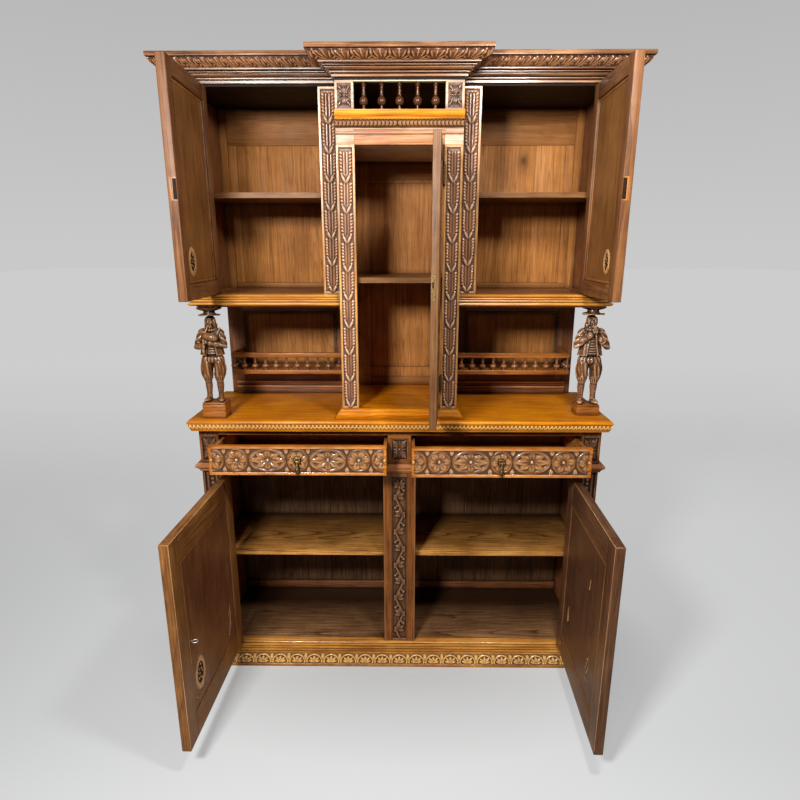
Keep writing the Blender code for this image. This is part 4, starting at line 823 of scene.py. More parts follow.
# The drawers: each carved oak front has a plain border and a row of raised rounds and ovals filled with
# petals. A brass drop hangs on two small ears in the middle round. The boxes are thin plain boards.
def petals(ground, x, z, radius, count, rise, turn=0.0):
    """A round flower with a bead."""
    for k in range(count):
        leaf(ground, x, z, radius, radius * 5.2 / count, turn + 360 * k / count, rise, vein=0.5, blunt=1.7)
    dome(ground, x, z, radius * 0.2, radius * 0.2, rise * 1.12)


def bowl(across, up):
    """A round dish with a rolled rim, as a height over its own half-sizes."""
    reach = np.hypot(across, up)
    roll = np.sqrt(unit(1.0 - ((reach - 0.86) / 0.14) ** 2))
    dish = np.where(reach < 0.86, 0.0004 + 0.0014 * reach**2, 0.0)
    return np.maximum(dish, 0.0034 * roll)


def joined(name, pieces):
    """Several pieces made one object."""
    bpy.ops.object.select_all(action="DESELECT")
    for piece in pieces:
        piece.select_set(True)
    bpy.context.view_layer.objects.active = pieces[0]
    if len(pieces) > 1:
        bpy.ops.object.join()
    pieces[0].name = pieces[0].data.name = name
    return pieces[0]


def settle():
    """Makes the active object's place, turn and scale part of its shape."""
    bpy.ops.object.transform_apply(location=True, rotation=True, scale=True)


def modify(made, kind, **settings):
    """Changes the active object's shape by a modifier."""
    change = made.modifiers.new("change", kind)
    for key, value in settings.items():
        setattr(change, key, value)
    bpy.ops.object.modifier_apply(modifier="change")


def turned(name, profile, places, sides):
    """A turned piece from its profile of radius and level, once at each place."""
    turn = np.linspace(0, 2 * math.pi, sides + 1)
    radius, level = np.array(profile).T[:, :, None]
    pieces = []
    for x, y, z in places:
        round_about = (x + radius * np.cos(turn), y + radius * np.sin(turn), z + level + 0.0 * turn)
        pieces.append(lay(name, np.stack(round_about, axis=2)))
    return joined(name, pieces)


def plank(low, high, ease=0.0012, segments=2):
    """A plain board between two corners with eased edges, ready to be joined to others."""
    bpy.ops.object.select_all(action="DESELECT")
    bpy.ops.mesh.primitive_cube_add(size=1, location=[(a + b) / 2 for a, b in zip(low, high)])
    made = bpy.context.object
    made.scale = [b - a for a, b in zip(low, high)]
    settle()
    if ease:
        modify(made, "BEVEL", width=ease, segments=segments)
    return made


ROUNDS = [(0.0, 0.0385)]
for place, wide in ((0.1065, 0.0675), (0.2165, 0.042), (0.306, 0.047)):
    ROUNDS += [(place, wide), (-place, wide)]
ROUND_TALL = 0.044
DRAWER_LEVEL = 0.9154
DROP = mm(
    (0, -48), (1.2, -47.8), (3, -46.6), (4.8, -44), (6.4, -40.5), (7.3, -36), (7.5, -32), (6.8, -27),
    (5.2, -22.5), (4.2, -20), (4, -18.8), (5, -17.8), (5, -16.8), (3.4, -15.8), (2.4, -14), (2.2, 0),
    (1.3, 1.3), (0, 1.6),
)
PIN = mm((0, -6), (2.6, -6), (2.6, 6), (0, 6))
for (hand, sign), out in zip(SIDES, (0.14, 0.156)):
    x0, x1 = between(sign, 0.0445, 0.6705)
    middle = (x0 + x1) / 2
    level = DRAWER_LEVEL
    face = FRONT - out
    ground = field(steps(x0, x1, 0.0012), steps(0.8623, 0.9685, 0.0012))
    ground["sink"] = np.zeros_like(ground["h"])
    for place, wide in ROUNDS:
        x = middle + place
        stamp(ground, x, level, wide + 0.004, lambda u, v: bowl(u / wide, v / ROUND_TALL))
        if wide > 0.05:
            for angle in (58, 90, 122, -58, -90, -122):
                long = 0.06 if abs(angle) == 90 else 0.047
                leaf(ground, x, level, long, 0.031, angle, 0.0068, vein=0.6, lobes=2, blunt=1.3)
            for angle in (0, 180):
                leaf(ground, x, level, 0.039, 0.03, angle, 0.0058, vein=0.6, blunt=1.5)
            dome(ground, x, level, 0.0075, 0.0075, 0.0068)
        else:
            petals(ground, x, level, 0.0375 if place else 0.034, 6, 0.0068, 22)
        dish = ((ground["x"] - x) / wide)[None, :] ** 2 + ((ground["z"] - level) / ROUND_TALL)[:, None] ** 2
        ground["sink"] = np.maximum(ground["sink"], 0.005 * unit(1.0 - dish / 0.85))
        if place:
            root = x - math.copysign(wide + 0.0005, place)
            leaf(ground, root, level + 0.047, 0.024, 0.019, 180, 0.0048)
            leaf(ground, root, level - 0.047, 0.024, 0.019, 0, 0.0048)
    border(ground, 0.0105, 0.005)
    board = carved_board(f"drawer_front_carving_{hand}", ground, face + 0.0055, face + 0.022, 8, 0.0026)
    close(board, "carved_oak_drawer", [f"drawer_{hand}_front"], body=f"drawer_{hand}")
    low = (middle - 0.0115, face - 0.0015, level - 0.013)
    high = (middle + 0.0115, face + 0.004, level + 0.013)
    ears = [plank(low, high, 0.002, 3)]
    for side in (-1, 1):
        a, b = between(side, 0.0063, 0.0103)
        low = (middle + a, face - 0.013, level - 0.0055)
        high = (middle + b, face + 0.003, level + 0.0055)
        ears.append(plank(low, high, 0.0015, 3))
    close(joined(f"drawer_pull_plate_{hand}", ears), "old_brass", angle=35, body=f"drawer_{hand}")
    hang = (middle, face - 0.009, level)
    pull = turned(f"drawer_drop_{hand}", DROP, [hang], 24)
    bar = turned("pin", PIN, [(0, 0, 0)], 16)
    bar.data.transform(Matrix.Translation(hang) @ Matrix.Rotation(math.radians(90), 4, "Y"))
    pull = joined(f"drawer_drop_{hand}", [pull, bar])
    close(pull, "old_brass", [f"drawer_{hand}_pull"], 35, f"drawer_{hand}_pull")

# The floors of the hanging cupboards: moulded oak boards, honey orange on their edges. Each is housed into
# the tower's side and the back, and its outer corner stands on a carved figure.
FLOOR_LEVEL = 1.431
TOWER_SIDE = 0.2073
profile = mm(
    (-60, 0), (-24, 0), (-24, 4), (-12, 5), (-5, 6.6), (-1.2, 9.2), (0, 12.5), (-1.2, 15.8), (-5, 18),
    (-7.5, 18.4), (-7.5, 20.4), (-4.8, 20.8), (-4, 23), (-5.2, 25.6), (-10.5, 26.2), (-10.5, 28.2),
    (-8, 28.6), (-7.2, 31), (-8.5, 33.5), (-14, 34.2), (-14, 36.2), (-11, 36.6), (-10.2, 39.5),
    (-12.5, 42.5), (-18, 44), (-60, 44), (-60, 0),
)
profile = [(offset, FLOOR_LEVEL + level) for offset, level in profile]
for hand, sign in SIDES:
    path = [(sign * TOWER_SIDE, 0.038), (sign * 0.745, 0.038), (sign * 0.745, WALL)][::sign]
    edge = run_moulding(f"cupboard_floor_board_{hand}", path, profile)
    a, b = between(sign, TOWER_SIDE, 0.6865)
    shelf = joined(f"cupboard_floor_middle_{hand}", [plank((a, 0.0965, 1.4311), (b, WALL, 1.4749), 0)])
    close(shelf, "brown_oak_long", angle=35)
    close(edge, "ledge_oak", [f"cupboard_floor_{hand}"], 35)


# The strips beside the tower, against which the hanging cupboards' doors shut, and the tower's two
# pilasters: dark oak carved with a chain of feathered leaves on a round stem, between plain orange edges.
def feather_chain(ground, x, z0, z1, half, pitch, rise):
    """A chain of long plumes: a smooth body with a slit, lobes along both sides and a sharp V at the foot."""
    count = int(round((z1 - z0) / pitch))
    pitch = (z1 - z0) / count
    across = np.abs(ground["x"] - x)[None, :] / half
    for k in range(count):
        foot = z0 + k * pitch
        share = ((ground["z"] - foot) / pitch)[:, None]
        middle = 0.24 * unit((share + 0.02) / 0.24)
        body = np.sqrt(unit(1.0 - ((across - middle) / 0.25) ** 2))
        body = body * unit((share + 0.01) / 0.05) * unit((1.0 - share) / 0.1)
        under = unit((1.02 - across) / 0.06) * ((share > 0.0) & (share < 1.0))
        np.maximum(ground["h"], rise * np.maximum(0.9 * body, 0.34 * under), out=ground["h"])
        for side in (-1, 1):
            root = x + side * half * 0.38
            for i in range(8):
                level = foot + pitch * (0.05 + 0.86 * i / 8)
                long = half * (0.52 + 0.3 * min(1.0, i / 2.5))
                leaf(ground, root, level, long, pitch * 0.138, side * 44, rise * 1.25, vein=0.0, blunt=1.7)
            level = foot - pitch * 0.1
            leaf(ground, x, level, pitch * 0.36, half * 0.58, side * 27, rise * 2.1, vein=0.0, blunt=0.8)


STRIP_EDGE = 0.0085
for hand, sign in SIDES:
    for kind, near, far, low, high, face, back in (
        ("cupboard_strip", TOWER_SIDE, 0.2713, 1.4753, 2.1407, 0.108, 0.13),
        ("pilaster", 0.147, 0.207, 1.0723, 1.9527, 0.023, 0.045),
    ):
        ground = field(steps(*between(sign, near, far), 0.0011), steps(low, high, 0.0013))
        half = (far - near) / 2 - STRIP_EDGE
        start, end = low + STRIP_EDGE + 0.004, high - STRIP_EDGE - 0.004
        feather_chain(ground, sign * (near + far) / 2, start, end, half, 0.098, 0.0048)
        border(ground, STRIP_EDGE, 0.0042)
        board = carved_board(f"{kind}_carving_{hand}", ground, face + 0.0048, back, 4, 0.0021)
        close(board, "carved_oak_tall", [f"{kind}_{hand}"])

# The tower's foot: a moulded oak base, stepped like a small plinth, that lies on the countertop and carries
# the sides and pilasters.
profile = mm(
    (-30, 1036.3), (0, 1036.3), (0, 1048), (-2, 1050), (-5, 1052), (-6.6, 1055), (-7, 1058.5),
    (-12.5, 1063), (-14, 1065), (-15, 1069), (-18, 1071.2), (-20, 1072), (-30, 1072),
)
foot = run_board("tower_foot_board", round_three_sides(0.229, 0.001, WALL), profile)
close(foot, "honey_oak_long", ["tower_foot"], 35)

# The tower's head: an open frieze with five turned spindles between two carved blocks, over an ogee, a
# carved torus and the rail that the door shuts against. Its frame is jointed and glued up as one.
FRIEZE_LOW, FRIEZE_TOP = 2.0567, 2.1407
RAIL_LOW, RAIL_TOP = 1.953, 1.9988
HEAD_FACE, HEAD_BACK = 0.023, 0.045
pieces = []
for x0, x1, z0, z1, ease in (
    (-0.207, -0.147, FRIEZE_LOW, FRIEZE_TOP, 0.0008),
    (0.147, 0.207, FRIEZE_LOW, FRIEZE_TOP, 0.0008),
    (-0.1468, 0.1468, 2.1365, FRIEZE_TOP, 0.0006),
    (-0.207, 0.207, 1.999, FRIEZE_LOW - 0.0002, 0.0008),
    (-0.207, -0.1472, RAIL_LOW, RAIL_TOP, 0.0008),
    (0.1472, 0.207, RAIL_LOW, RAIL_TOP, 0.0008),
):
    pieces.append(plank((x0, HEAD_FACE, z0), (x1, HEAD_BACK, z1), ease))
pieces.append(plank((-0.1867, HEAD_BACK, RAIL_LOW), (0.1867, WALL, 1.971), 0.0008))
# The frame's pale cream is a painted highlight.
close(joined("tower_head_frame", pieces), "cream_highlight_oak_long", ["tower_head"], 35)
rail = plank((-0.147, HEAD_FACE, RAIL_LOW), (0.147, HEAD_BACK, RAIL_TOP), 0.0008)
fillet = plank((-0.2075, 0.0175, 1.984), (0.2075, 0.024, 1.9925), 0.0015, 3)
close(joined("tower_head_rail", [rail, fillet]), "pale_highlight_oak_long", angle=35)

path = [(-0.2085, 0.0235), (0.2085, 0.0235)]
profile = mm(
    (0, 2028), (6, 2028.5), (6.5, 2031), (7.5, 2033.5), (10.5, 2036.5), (14.5, 2039.5), (16.5, 2043),
    (17.2, 2046.5), (17.2, 2049), (18, 2050.5), (18, 2054), (0, 2056), (0, 2028),
)
close(run_moulding("frieze_ogee", path, profile), "ogee_oak", angle=35)


def torus_leaves(ground, tall):
    """Two rows of small overlapping leaves that run out from the middle."""
    for x in repeats(ground, 0.0125):
        lean = 1 if x >= 0 else -1
        for angle in (58, 122):
            leaf(ground, x - lean * 0.004, 0.5 * tall, 0.015, 0.0082, lean * angle, 0.0022, vein=0.5)
        dome(ground, x + lean * 0.003, 0.5 * tall, 0.0026, 0.0026, 0.0026)
        dome(ground, x - lean * 0.002, 0.92 * tall, 0.003, 0.0026, 0.002)


profile = [(0.0, 2.002)]
for i in range(13):
    profile.append((0.001 + 0.0105 * math.sin(math.pi * i / 12), 2.0025 + 0.0245 * (i / 12)))
profile += [(0.0, 2.0275), (0.0, 2.002)]
torus = run_moulding("frieze_torus", path, profile, 0.0011, (2.003, 2.0265), torus_leaves, 3, 0.0008)
close(torus, "carved_oak_torus")

for hand, sign in SIDES:
    middle = sign * 0.177
    ground = field(steps(middle - 0.0225, middle + 0.0225, 0.0009), steps(2.061, 2.133, 0.0009))
    leaf_cross(ground, middle, 2.097, 0.0215, 0.035, 0.0046, 0.62)
    block = carved_board(f"frieze_block_carving_{hand}", ground, 0.0226, 0.0232, 4, 0.0024)
    close(block, "carved_oak_stile")

SPINDLE_TALL = 0.0798
SPINDLE = mm((0, 0), (6.6, 0), (6.6, 5), (4.6, 7), (4.4, 12))
for i in range(1, 12):
    turn = math.pi * (0.1 + 0.8 * i / 12)
    SPINDLE.append((0.0138 * math.sin(turn), 0.0255 - 0.0145 * math.cos(turn)))
SPINDLE += mm(
    (4.6, 40.5), (7.2, 41.8), (7.2, 43.4), (4.8, 44.8), (5.6, 50), (4.4, 59), (4.4, 60.5), (6.8, 61.8),
    (6.8, 63.4), (4.4, 64.8), (4.2, 69), (7.6, 71.2), (8.2, 73), (5.4, 74.8), (5, 79.8), (0, 79.8),
)
places = [((k - 2) * 0.0575, 0.034, FRIEZE_LOW) for k in range(5)]
close(turned("frieze_spindles", SPINDLE, places, 24), "turned_oak", angle=40)

# The plate shelves in the niches: each oak shelf has a low gallery of small turned spindles under a flat
# rail, along its front and its outer end. The spindles are pegged into both.
small = [(r * 0.9, 1.166 + z * 0.0482 / SPINDLE_TALL) for r, z in SPINDLE]
for hand, sign in SIDES:
    a, b = between(sign, TOWER_SIDE, 0.673)
    c, d = between(sign, 0.657, 0.673)
    boards = [
        plank((a, 0.2847, 1.148), (b, WALL, 1.1658), 0.003, 3),
        plank((a, 0.2847, 1.2142), (b, 0.3007, 1.234), 0.0035, 3),
        plank((c, 0.3009, 1.2142), (d, WALL, 1.234), 0.0035, 3),
    ]
    close(joined(f"gallery_shelf_{hand}", boards), "front_oak_long", [f"gallery_{hand}"], 40)
    places = [(sign * (0.665 - k * 0.042), 0.2927, 0) for k in range(11)]
    places += [(sign * 0.665, 0.2927 + k * 0.042, 0) for k in range(1, 4)]
    close(turned(f"gallery_spindles_{hand}", small, places, 16), "carved_oak_tall", angle=40)


# The cornice: a deep breakfront moulding mitred round the front and ends, with a carved band of ribbed shells
# under its top fillet. It is nailed to the ceiling board and covered by a thin top board.
def palmettes(ground, tall):
    """Shells side by side, each a low swelling with seven ribs, and a small pointed leaf above each gap."""
    pitch = 0.043
    ribs = ((-68, 0.62), (-46, 0.84), (-23, 0.98), (0, 1.0), (23, 0.98), (46, 0.84), (68, 0.62))
    for x in repeats(ground, pitch):
        dome(ground, x, 0.36 * tall, 0.02, 0.62 * tall, 0.0036)
        for angle, long in ribs:
            leaf(ground, x, 0.0, tall * long, 0.0062, angle, 0.0058, vein=0.0, blunt=1.5)
        leaf(ground, x + pitch / 2, tall, tall * 0.6, 0.008, 180, 0.005, blunt=1.3)


path = [
    (-0.722, 0.476), (-0.722, 0.108), (-0.207, 0.108), (-0.207, 0.023),
    (0.207, 0.023), (0.207, 0.108), (0.722, 0.108), (0.722, 0.476),
]
profile = mm(
    (0.5, 2149), (8, 2149), (8, 2155), (1.4, 2155.3), (1.4, 2158.6), (10.5, 2159), (13, 2160.2),
    (13, 2162.8), (12.2, 2163.2), (5, 2163.5), (5, 2166.4), (18.5, 2166.8), (21.5, 2168.4),
    (25, 2170.2), (26.8, 2171.4), (26.8, 2172.4), (18, 2172.7), (18, 2175.5), (33, 2175.8),
    (33, 2177.6), (24, 2177.9), (24, 2180.5), (43, 2180.8), (44.8, 2181.8), (44.8, 2186.2),
    (43.6, 2187), (37, 2187.4), (37, 2189.8), (48, 2190.5), (59, 2195), (68.5, 2200.5), (75, 2207),
    (76, 2209), (69, 2209.4), (69, 2211.2), (81.5, 2211.6), (83, 2212.8), (83, 2223.6), (81.5, 2225),
    (-20, 2225), (-20, 2208), (0.5, 2160), (0.5, 2149),
)
cornice = run_moulding("cornice_moulding", path, profile, 0.0016, (2.19, 2.209), palmettes, 4, 0.0024)
close(cornice, "carved_oak_cornice", ["cornice"])
boards = [
    plank((-0.702, 0.128, 2.2083), (0.702, 0.4757, 2.2247), 0),
    plank((-0.187, 0.043, 2.2084), (0.187, 0.14, 2.2246), 0),
]
close(joined("cornice_top_board", boards), "inner_oak_long", angle=35)


# The carved figures that hold up the cupboards' outer corners: a piper with a bag of air and a smoker with
# a pipe, in broad hats, jackets, full breeches and gaiters. Each is cut from one piece of oak, stands on a
# block of two boards and a slab, and carries a turned cap. The faces are plain and calm. The figures'
# shapes are in shares of their height.
def ball(centre, size, turn=(0, 0, 0)):
    """An egg shape with its half-sizes, turned by degrees."""
    turn = [math.radians(v) for v in turn]
    bpy.ops.mesh.primitive_uv_sphere_add(
        segments=20, ring_count=12, radius=1, location=centre, rotation=turn, scale=size
    )
    return bpy.context.object


def cone(centre, low_radius, high_radius, depth, vertices, rotation=(0, 0, 0)):
    """A cut cone."""
    bpy.ops.mesh.primitive_cone_add(
        vertices=vertices, radius1=low_radius, radius2=high_radius, depth=depth,
        location=centre, rotation=rotation,
    )
    return bpy.context.object


def hoop(centre, radius, thick, **more):
    """A round ring."""
    bpy.ops.mesh.primitive_torus_add(location=centre, major_radius=radius, minor_radius=thick, **more)
    return bpy.context.object


def limb(start, end, start_radius, end_radius):
    """A tapered limb with round ends."""
    start, end = Vector(start), Vector(end)
    run = end - start
    turn = run.to_track_quat("Z", "Y").to_euler()
    rod = cone((start + end) / 2, start_radius, end_radius, run.length, 20, turn)
    return [rod, ball(start, (start_radius,) * 3), ball(end, (end_radius,) * 3)]


def chain(points, radii):
    """Limbs end to end."""
    made = []
    for row in zip(points[:-1], points[1:], radii[:-1], radii[1:]):
        made += limb(*row)
    return made


def head_and_hat(x, turn):
    """A head of plain proportions under a broad hat, with long hair, a short beard and a frilled collar."""
    face = []
    for spot, size in (
        ((0, -0.004, 0.878), (0.045, 0.05, 0.062)),
        ((0, 0.018, 0.896), (0.052, 0.048, 0.056)),
        ((0, -0.054, 0.886), (0.0085, 0.011, 0.021)),
        ((0, -0.062, 0.873), (0.01, 0.01, 0.008)),
        ((0, -0.044, 0.914), (0.036, 0.014, 0.0075)),
        ((0, -0.047, 0.848), (0.013, 0.009, 0.005)),
        ((0, -0.038, 0.828), (0.026, 0.02, 0.024)),
    ):
        face.append(ball(spot, size))
    for side in (-1, 1):
        for (across, deep, up), size, tip in (
            ((0.018, -0.046, 0.899), (0.0085, 0.007, 0.0058), 0),
            ((0.025, -0.038, 0.876), (0.014, 0.014, 0.014), 0),
            ((0.016, -0.05, 0.86), (0.017, 0.009, 0.0065), 22),
            ((0.046, 0.006, 0.872), (0.015, 0.03, 0.05), 0),
            ((0.05, 0.022, 0.832), (0.018, 0.03, 0.034), 0),
        ):
            face.append(ball((side * across, deep, up), size, (0, side * tip, 0)))
    pose = Matrix.Translation((x, 0, 0)) @ Matrix.Rotation(math.radians(turn), 4, "Z")
    for piece in face:
        piece.matrix_world = pose @ piece.matrix_world
    made = face + limb((x, 0.006, 0.86), (x * 0.5, 0.004, 0.79), 0.036, 0.044)
    for radius, depth, level in ((0.112, 0.01, 0.953), (0.064, 0.044, 0.975)):
        made.append(cone((x, 0, level), radius, radius * 0.94, depth, 32))
    made.append(ball((x, 0, 0.99), (0.06, 0.06, 0.013)))
    for radius, level in ((0.064, 0.965), (0.11, 0.955)):
        made.append(hoop((x, 0, level), radius, 0.006))
    for k in range(14):
        across, ahead = math.sin(2 * math.pi * k / 14), math.cos(2 * math.pi * k / 14)
        spot = (x * 0.5 + 0.062 * across, 0.004 - 0.058 * ahead, 0.802 - 0.012 * ahead)
        made.append(ball(spot, (0.016, 0.016, 0.014)))
    return made


def trunk(left_foot, right_foot):
    """Shoulders, a jacket with a flared skirt, breeches gathered at the knee, gaiters and shoes."""
    made = limb((-0.09, 0.006, 0.764), (0.09, 0.006, 0.764), 0.044, 0.044)
    made.append(ball((0, 0.004, 0.69), (0.112, 0.074, 0.11)))
    made.append(ball((0, 0.002, 0.47), (0.112, 0.074, 0.06)))
    skirt = cone((0, 0.004, 0.595), 0.134, 0.1, 0.15, 40)
    skirt.scale = (1.0, 0.66, 1.0)
    made.append(skirt)
    for side, foot in ((-1, left_foot), (1, right_foot)):
        hip, thigh = (side * 0.056, 0.002, 0.465), (side * 0.074, -0.006, 0.375)
        made += chain([hip, thigh, (side * 0.003 + foot, -0.01, 0.3)], [0.068, 0.064, 0.06])
        for level, radius in ((0.266, 0.04), (0.248, 0.032), (0.232, 0.028)):
            made.append(hoop((foot, -0.007, level), radius, 0.013))
        shin = [(foot, -0.006, 0.25), (foot, 0.006, 0.18), (foot, 0.003, 0.09), (foot, 0.0, 0.05)]
        made += chain(shin, [0.036, 0.039, 0.029, 0.031])
        toe = foot + side * 0.012
        made.append(ball((toe, -0.042, 0.022), (0.032, 0.064, 0.024), (0, 0, side * 14)))
        made.append(ball((foot, 0.006, 0.026), (0.031, 0.036, 0.027)))
        made.append(ball((toe, -0.03, 0.046), (0.019, 0.022, 0.013)))
        for k in range(6):
            button = (foot + side * 0.022, -0.03 + 0.002 * k, 0.078 + 0.026 * k)
            made.append(ball(button, (0.0055, 0.006, 0.0055)))
    return made


def arm(side, elbow, hand):
    """A sleeve with a turned cuff, and a closed hand."""
    shoulder = Vector((side * 0.1, 0.006, 0.758))
    elbow, hand = Vector(elbow), Vector(hand)
    along = (hand - elbow).normalized()
    made = chain([shoulder, shoulder.lerp(elbow, 0.45), elbow], [0.042, 0.041, 0.033])
    made += chain([elbow, elbow.lerp(hand, 0.4), elbow.lerp(hand, 0.74)], [0.033, 0.034, 0.026])
    made += limb(elbow.lerp(hand, 0.64), elbow.lerp(hand, 0.74), 0.031, 0.033)
    made.append(ball(hand, (0.024, 0.023, 0.023)))
    for k in range(4):
        finger = hand + along * 0.014 + Vector((0, -0.012, 0.017 - 0.0115 * k))
        made.append(ball(finger, (0.014, 0.012, 0.0068)))
    return made


def read(values, key):
    """Three numbers from each of many things."""
    found = np.empty(len(values) * 3, np.float32)
    values.foreach_get(key, found)
    return found.reshape(-1, 3)


def carve_figure(name, pieces, tall, x, y, foot, lean):
    """Makes one skin of rough shapes, cuts the folds of the cloth, and marks ridges and hollows."""
    made = joined(name, pieces)
    settle()
    made.data.transform(Matrix.Translation((x, y, foot)) @ Matrix.Diagonal((tall, tall, tall, 1)))
    modify(made, "REMESH", mode="VOXEL", voxel_size=0.0014)
    modify(made, "SMOOTH", factor=0.5, iterations=2)
    points = read(made.data.vertices, "co")
    out = read(made.data.vertex_normals, "vector")
    a, b, c = ((points - (x, y, foot)) / tall).T

    def part(low, high, soft_edge=0.015):
        return unit((c - low) / soft_edge) * unit((high - c) / soft_edge)

    side = np.sign(a)
    leg = np.arctan2(b, a - side * 0.068)
    body = np.arctan2(b / 0.66, a)
    sway = 1.1 * np.sin(17 * c + 2.0 * side + lean) + lean * side * (c - 0.36) * 14
    folds = np.cos(4 * leg + sway) + 0.7 * np.cos(7 * leg - 1.7 * sway + 1.3)
    folds += 0.4 * np.cos(11 * leg + 21 * c)
    opening = unit((0.018 + 0.16 * (0.775 - c) - np.abs(a - 0.006)) / 0.006) * part(0.505, 0.775)
    opening *= (b < 0) & (b > -0.105)
    sleeves = part(0.56, 0.8, 0.03) * unit((np.abs(a) - 0.098) / 0.02)
    cut = 0.004 * part(0.275, 0.485, 0.03) * folds * np.clip((0.47 - c) / 0.08, 0.15, 1)
    cut += 0.0026 * part(0.44, 0.515) * np.cos(17 * body)
    cut += 0.0016 * part(0.232, 0.29) * np.cos(15 * leg + 40 * c)
    cut += opening * (0.0024 * np.cos(2 * math.pi * c / 0.026) - 0.016)
    cut += 0.0034 * sleeves * np.cos(95 * (c + 0.5 * np.abs(a)) + 4 * np.sin(28 * b))
    cut += 0.002 * part(0.52, 0.78) * (1 - opening) * (1 - sleeves) * np.cos(10 * body + 8 * c)
    cut += 0.0018 * part(0.8, 0.868) * np.cos(300 * a + 60 * c)
    cut += 0.0022 * part(0.82, 0.93) * (b > -0.004) * np.cos(28 * body + 30 * c)
    cut += 0.004 * part(0.94, 0.966, 0.006) * np.cos(3 * body + lean)
    points = points + out * (cut * tall)[:, None].astype(np.float32)
    made.data.vertices.foreach_set("co", points.ravel())
    modify(made, "SMOOTH", factor=0.6, iterations=14)
    # Marks ridges and hollows for the oak: paler ridges as rubbed wear and painted highlight, darker hollows
    # as dark wax and painted shade.
    stands = np.sum((points - read(made.data.vertices, "co")) * out, axis=1)
    made.data.vertices.foreach_set("co", points.ravel())
    made.data.update()
    tag = made.data.attributes.new("relief", "FLOAT", "POINT")
    tag.data.foreach_set("value", np.clip(stands / 0.00036, -1, 1).astype(np.float32))
    return made


TOP = 1.036
SLIT = 0.0003
CAP_TALL = 0.01
BLOCK_WIDE, BLOCK_DEEP = 0.0415, 0.039
CAP = mm((0, -3), (18, -2.8), (30, 0.5), (39, 3.5), (43.5, 6.2), (44, 8.5), (43, 9.6), (0, 9.6))
for hand, x, y, block in (("left", -0.675, 0.052, 0.057), ("right", 0.699, 0.11, 0.039)):
    foot = TOP + block
    tall = FLOOR_LEVEL - SLIT - CAP_TALL - foot
    bpy.ops.object.select_all(action="DESELECT")
    if hand == "left":
        look, lean = "piper_oak", 0.4
        rough = head_and_hat(0.0, -4) + trunk(-0.068, 0.06)
        rough += arm(-1, (-0.156, -0.024, 0.61), (-0.062, -0.112, 0.628))
        rough += arm(1, (0.146, -0.026, 0.622), (-0.034, -0.122, 0.676))
        rough.append(ball((0.02, -0.094, 0.722), (0.08, 0.05, 0.046), (0, 14, 0)))
        rough += limb((-0.044, -0.104, 0.732), (-0.008, -0.066, 0.846), 0.01, 0.007)
        rough += limb((-0.06, -0.126, 0.64), (-0.056, -0.134, 0.566), 0.009, 0.014)
        rough += limb((0.08, -0.07, 0.742), (0.112, -0.04, 0.812), 0.012, 0.01)
    else:
        look, lean = "smoker_oak", 1.4
        rough = head_and_hat(-0.004, 20) + trunk(-0.066, 0.066)
        rough += arm(-1, (-0.16, -0.034, 0.626), (0.006, -0.11, 0.782))
        rough += arm(1, (0.168, -0.02, 0.612), (0.074, -0.104, 0.694))
        rough += limb((0.004, -0.124, 0.806), (0.012, -0.074, 0.85), 0.007, 0.006)
        rough += limb((0.0, -0.128, 0.806), (-0.002, -0.132, 0.832), 0.013, 0.016)
    figure = carve_figure(f"figure_carving_{hand}", rough, tall, x, y, foot, lean)
    close(figure, look, [f"figure_{hand}"], 70)
    slab = foot - 0.007
    split = TOP + 0.0005 + (slab - TOP) * (0.52 if hand == "left" else 0.0)
    layers = [(slab + SLIT, foot, 0.001, 0.0012), (split + SLIT, slab, 0.0, 0.001)]
    if hand == "left":
        layers.append((TOP + SLIT, split, 0.0, 0.001))
    boards = []
    for low, high, inset, ease in layers:
        wide, deep = BLOCK_WIDE - inset, BLOCK_DEEP - inset
        boards.append(plank((x - wide, y - deep, low), (x + wide, y + deep, high), ease))
    close(joined(f"figure_block_{hand}", boards), "front_oak_long", angle=35)
    cap = turned(f"figure_cap_{hand}", CAP, [(x, y, FLOOR_LEVEL - CAP_TALL)], 48)
    close(cap, "turned_oak", angle=40)


# The five doors: oak frames of stiles and rails, mortised and pegged, each round a loose panel. The panels
# are flush and plain inside, with a bead round them; outside they are fielded and carved with a flower.
DOOR_FACE = 0.0053
GAP = 0.0015
BASE_DOOR = dict(width=0.6085, thick=0.03, low=0.0985, high=0.8185, stile=0.072, rail=0.0905, sunk=0.0016)
UPPER_DOOR = dict(width=0.3992, thick=0.028, low=1.4765, high=2.1395, stile=0.046, rail=0.049, sunk=0.0075)
TOWER_DOOR = dict(width=0.2925, thick=0.024, low=1.0735, high=1.9515, stile=0.046, rail=0.05, sunk=0.005)
DOORS = [
    dict(BASE_DOOR, name="base_door_left", axis=(-0.672, 0.0197), sign=-1, opened=91.6, look="low_door_oak"),
    dict(BASE_DOOR, name="base_door_right", axis=(0.672, 0.0197), sign=1, opened=88.4, look="shaded_door_oak"),
    dict(UPPER_DOOR, name="upper_door_left", axis=(-0.672, 0.1027), sign=-1, opened=88.8, look="up_door_oak"),
    dict(UPPER_DOOR, name="upper_door_right", axis=(0.672, 0.1027), sign=1, opened=89.3, look="up_door_oak"),
    dict(TOWER_DOOR, name="tower_door", axis=(0.147, 0.0177), sign=1, opened=86, look="mid_door_oak"),
]


def fit(made, door, look, angle=60, nodes=()):
    """Brings a piece from its door's own measures to where the door hangs open, and finishes it."""
    turn = Matrix.Rotation(math.radians(door["sign"] * door["opened"]), 4, "Z")
    made.data.transform(Matrix.Translation((*door["axis"], 0)) @ turn)
    close(made, look, nodes, angle, door["name"])


def span(door, near, far):
    """Two distances from the hinge as the low and high place across the closed door."""
    return between(-door["sign"], near, far)


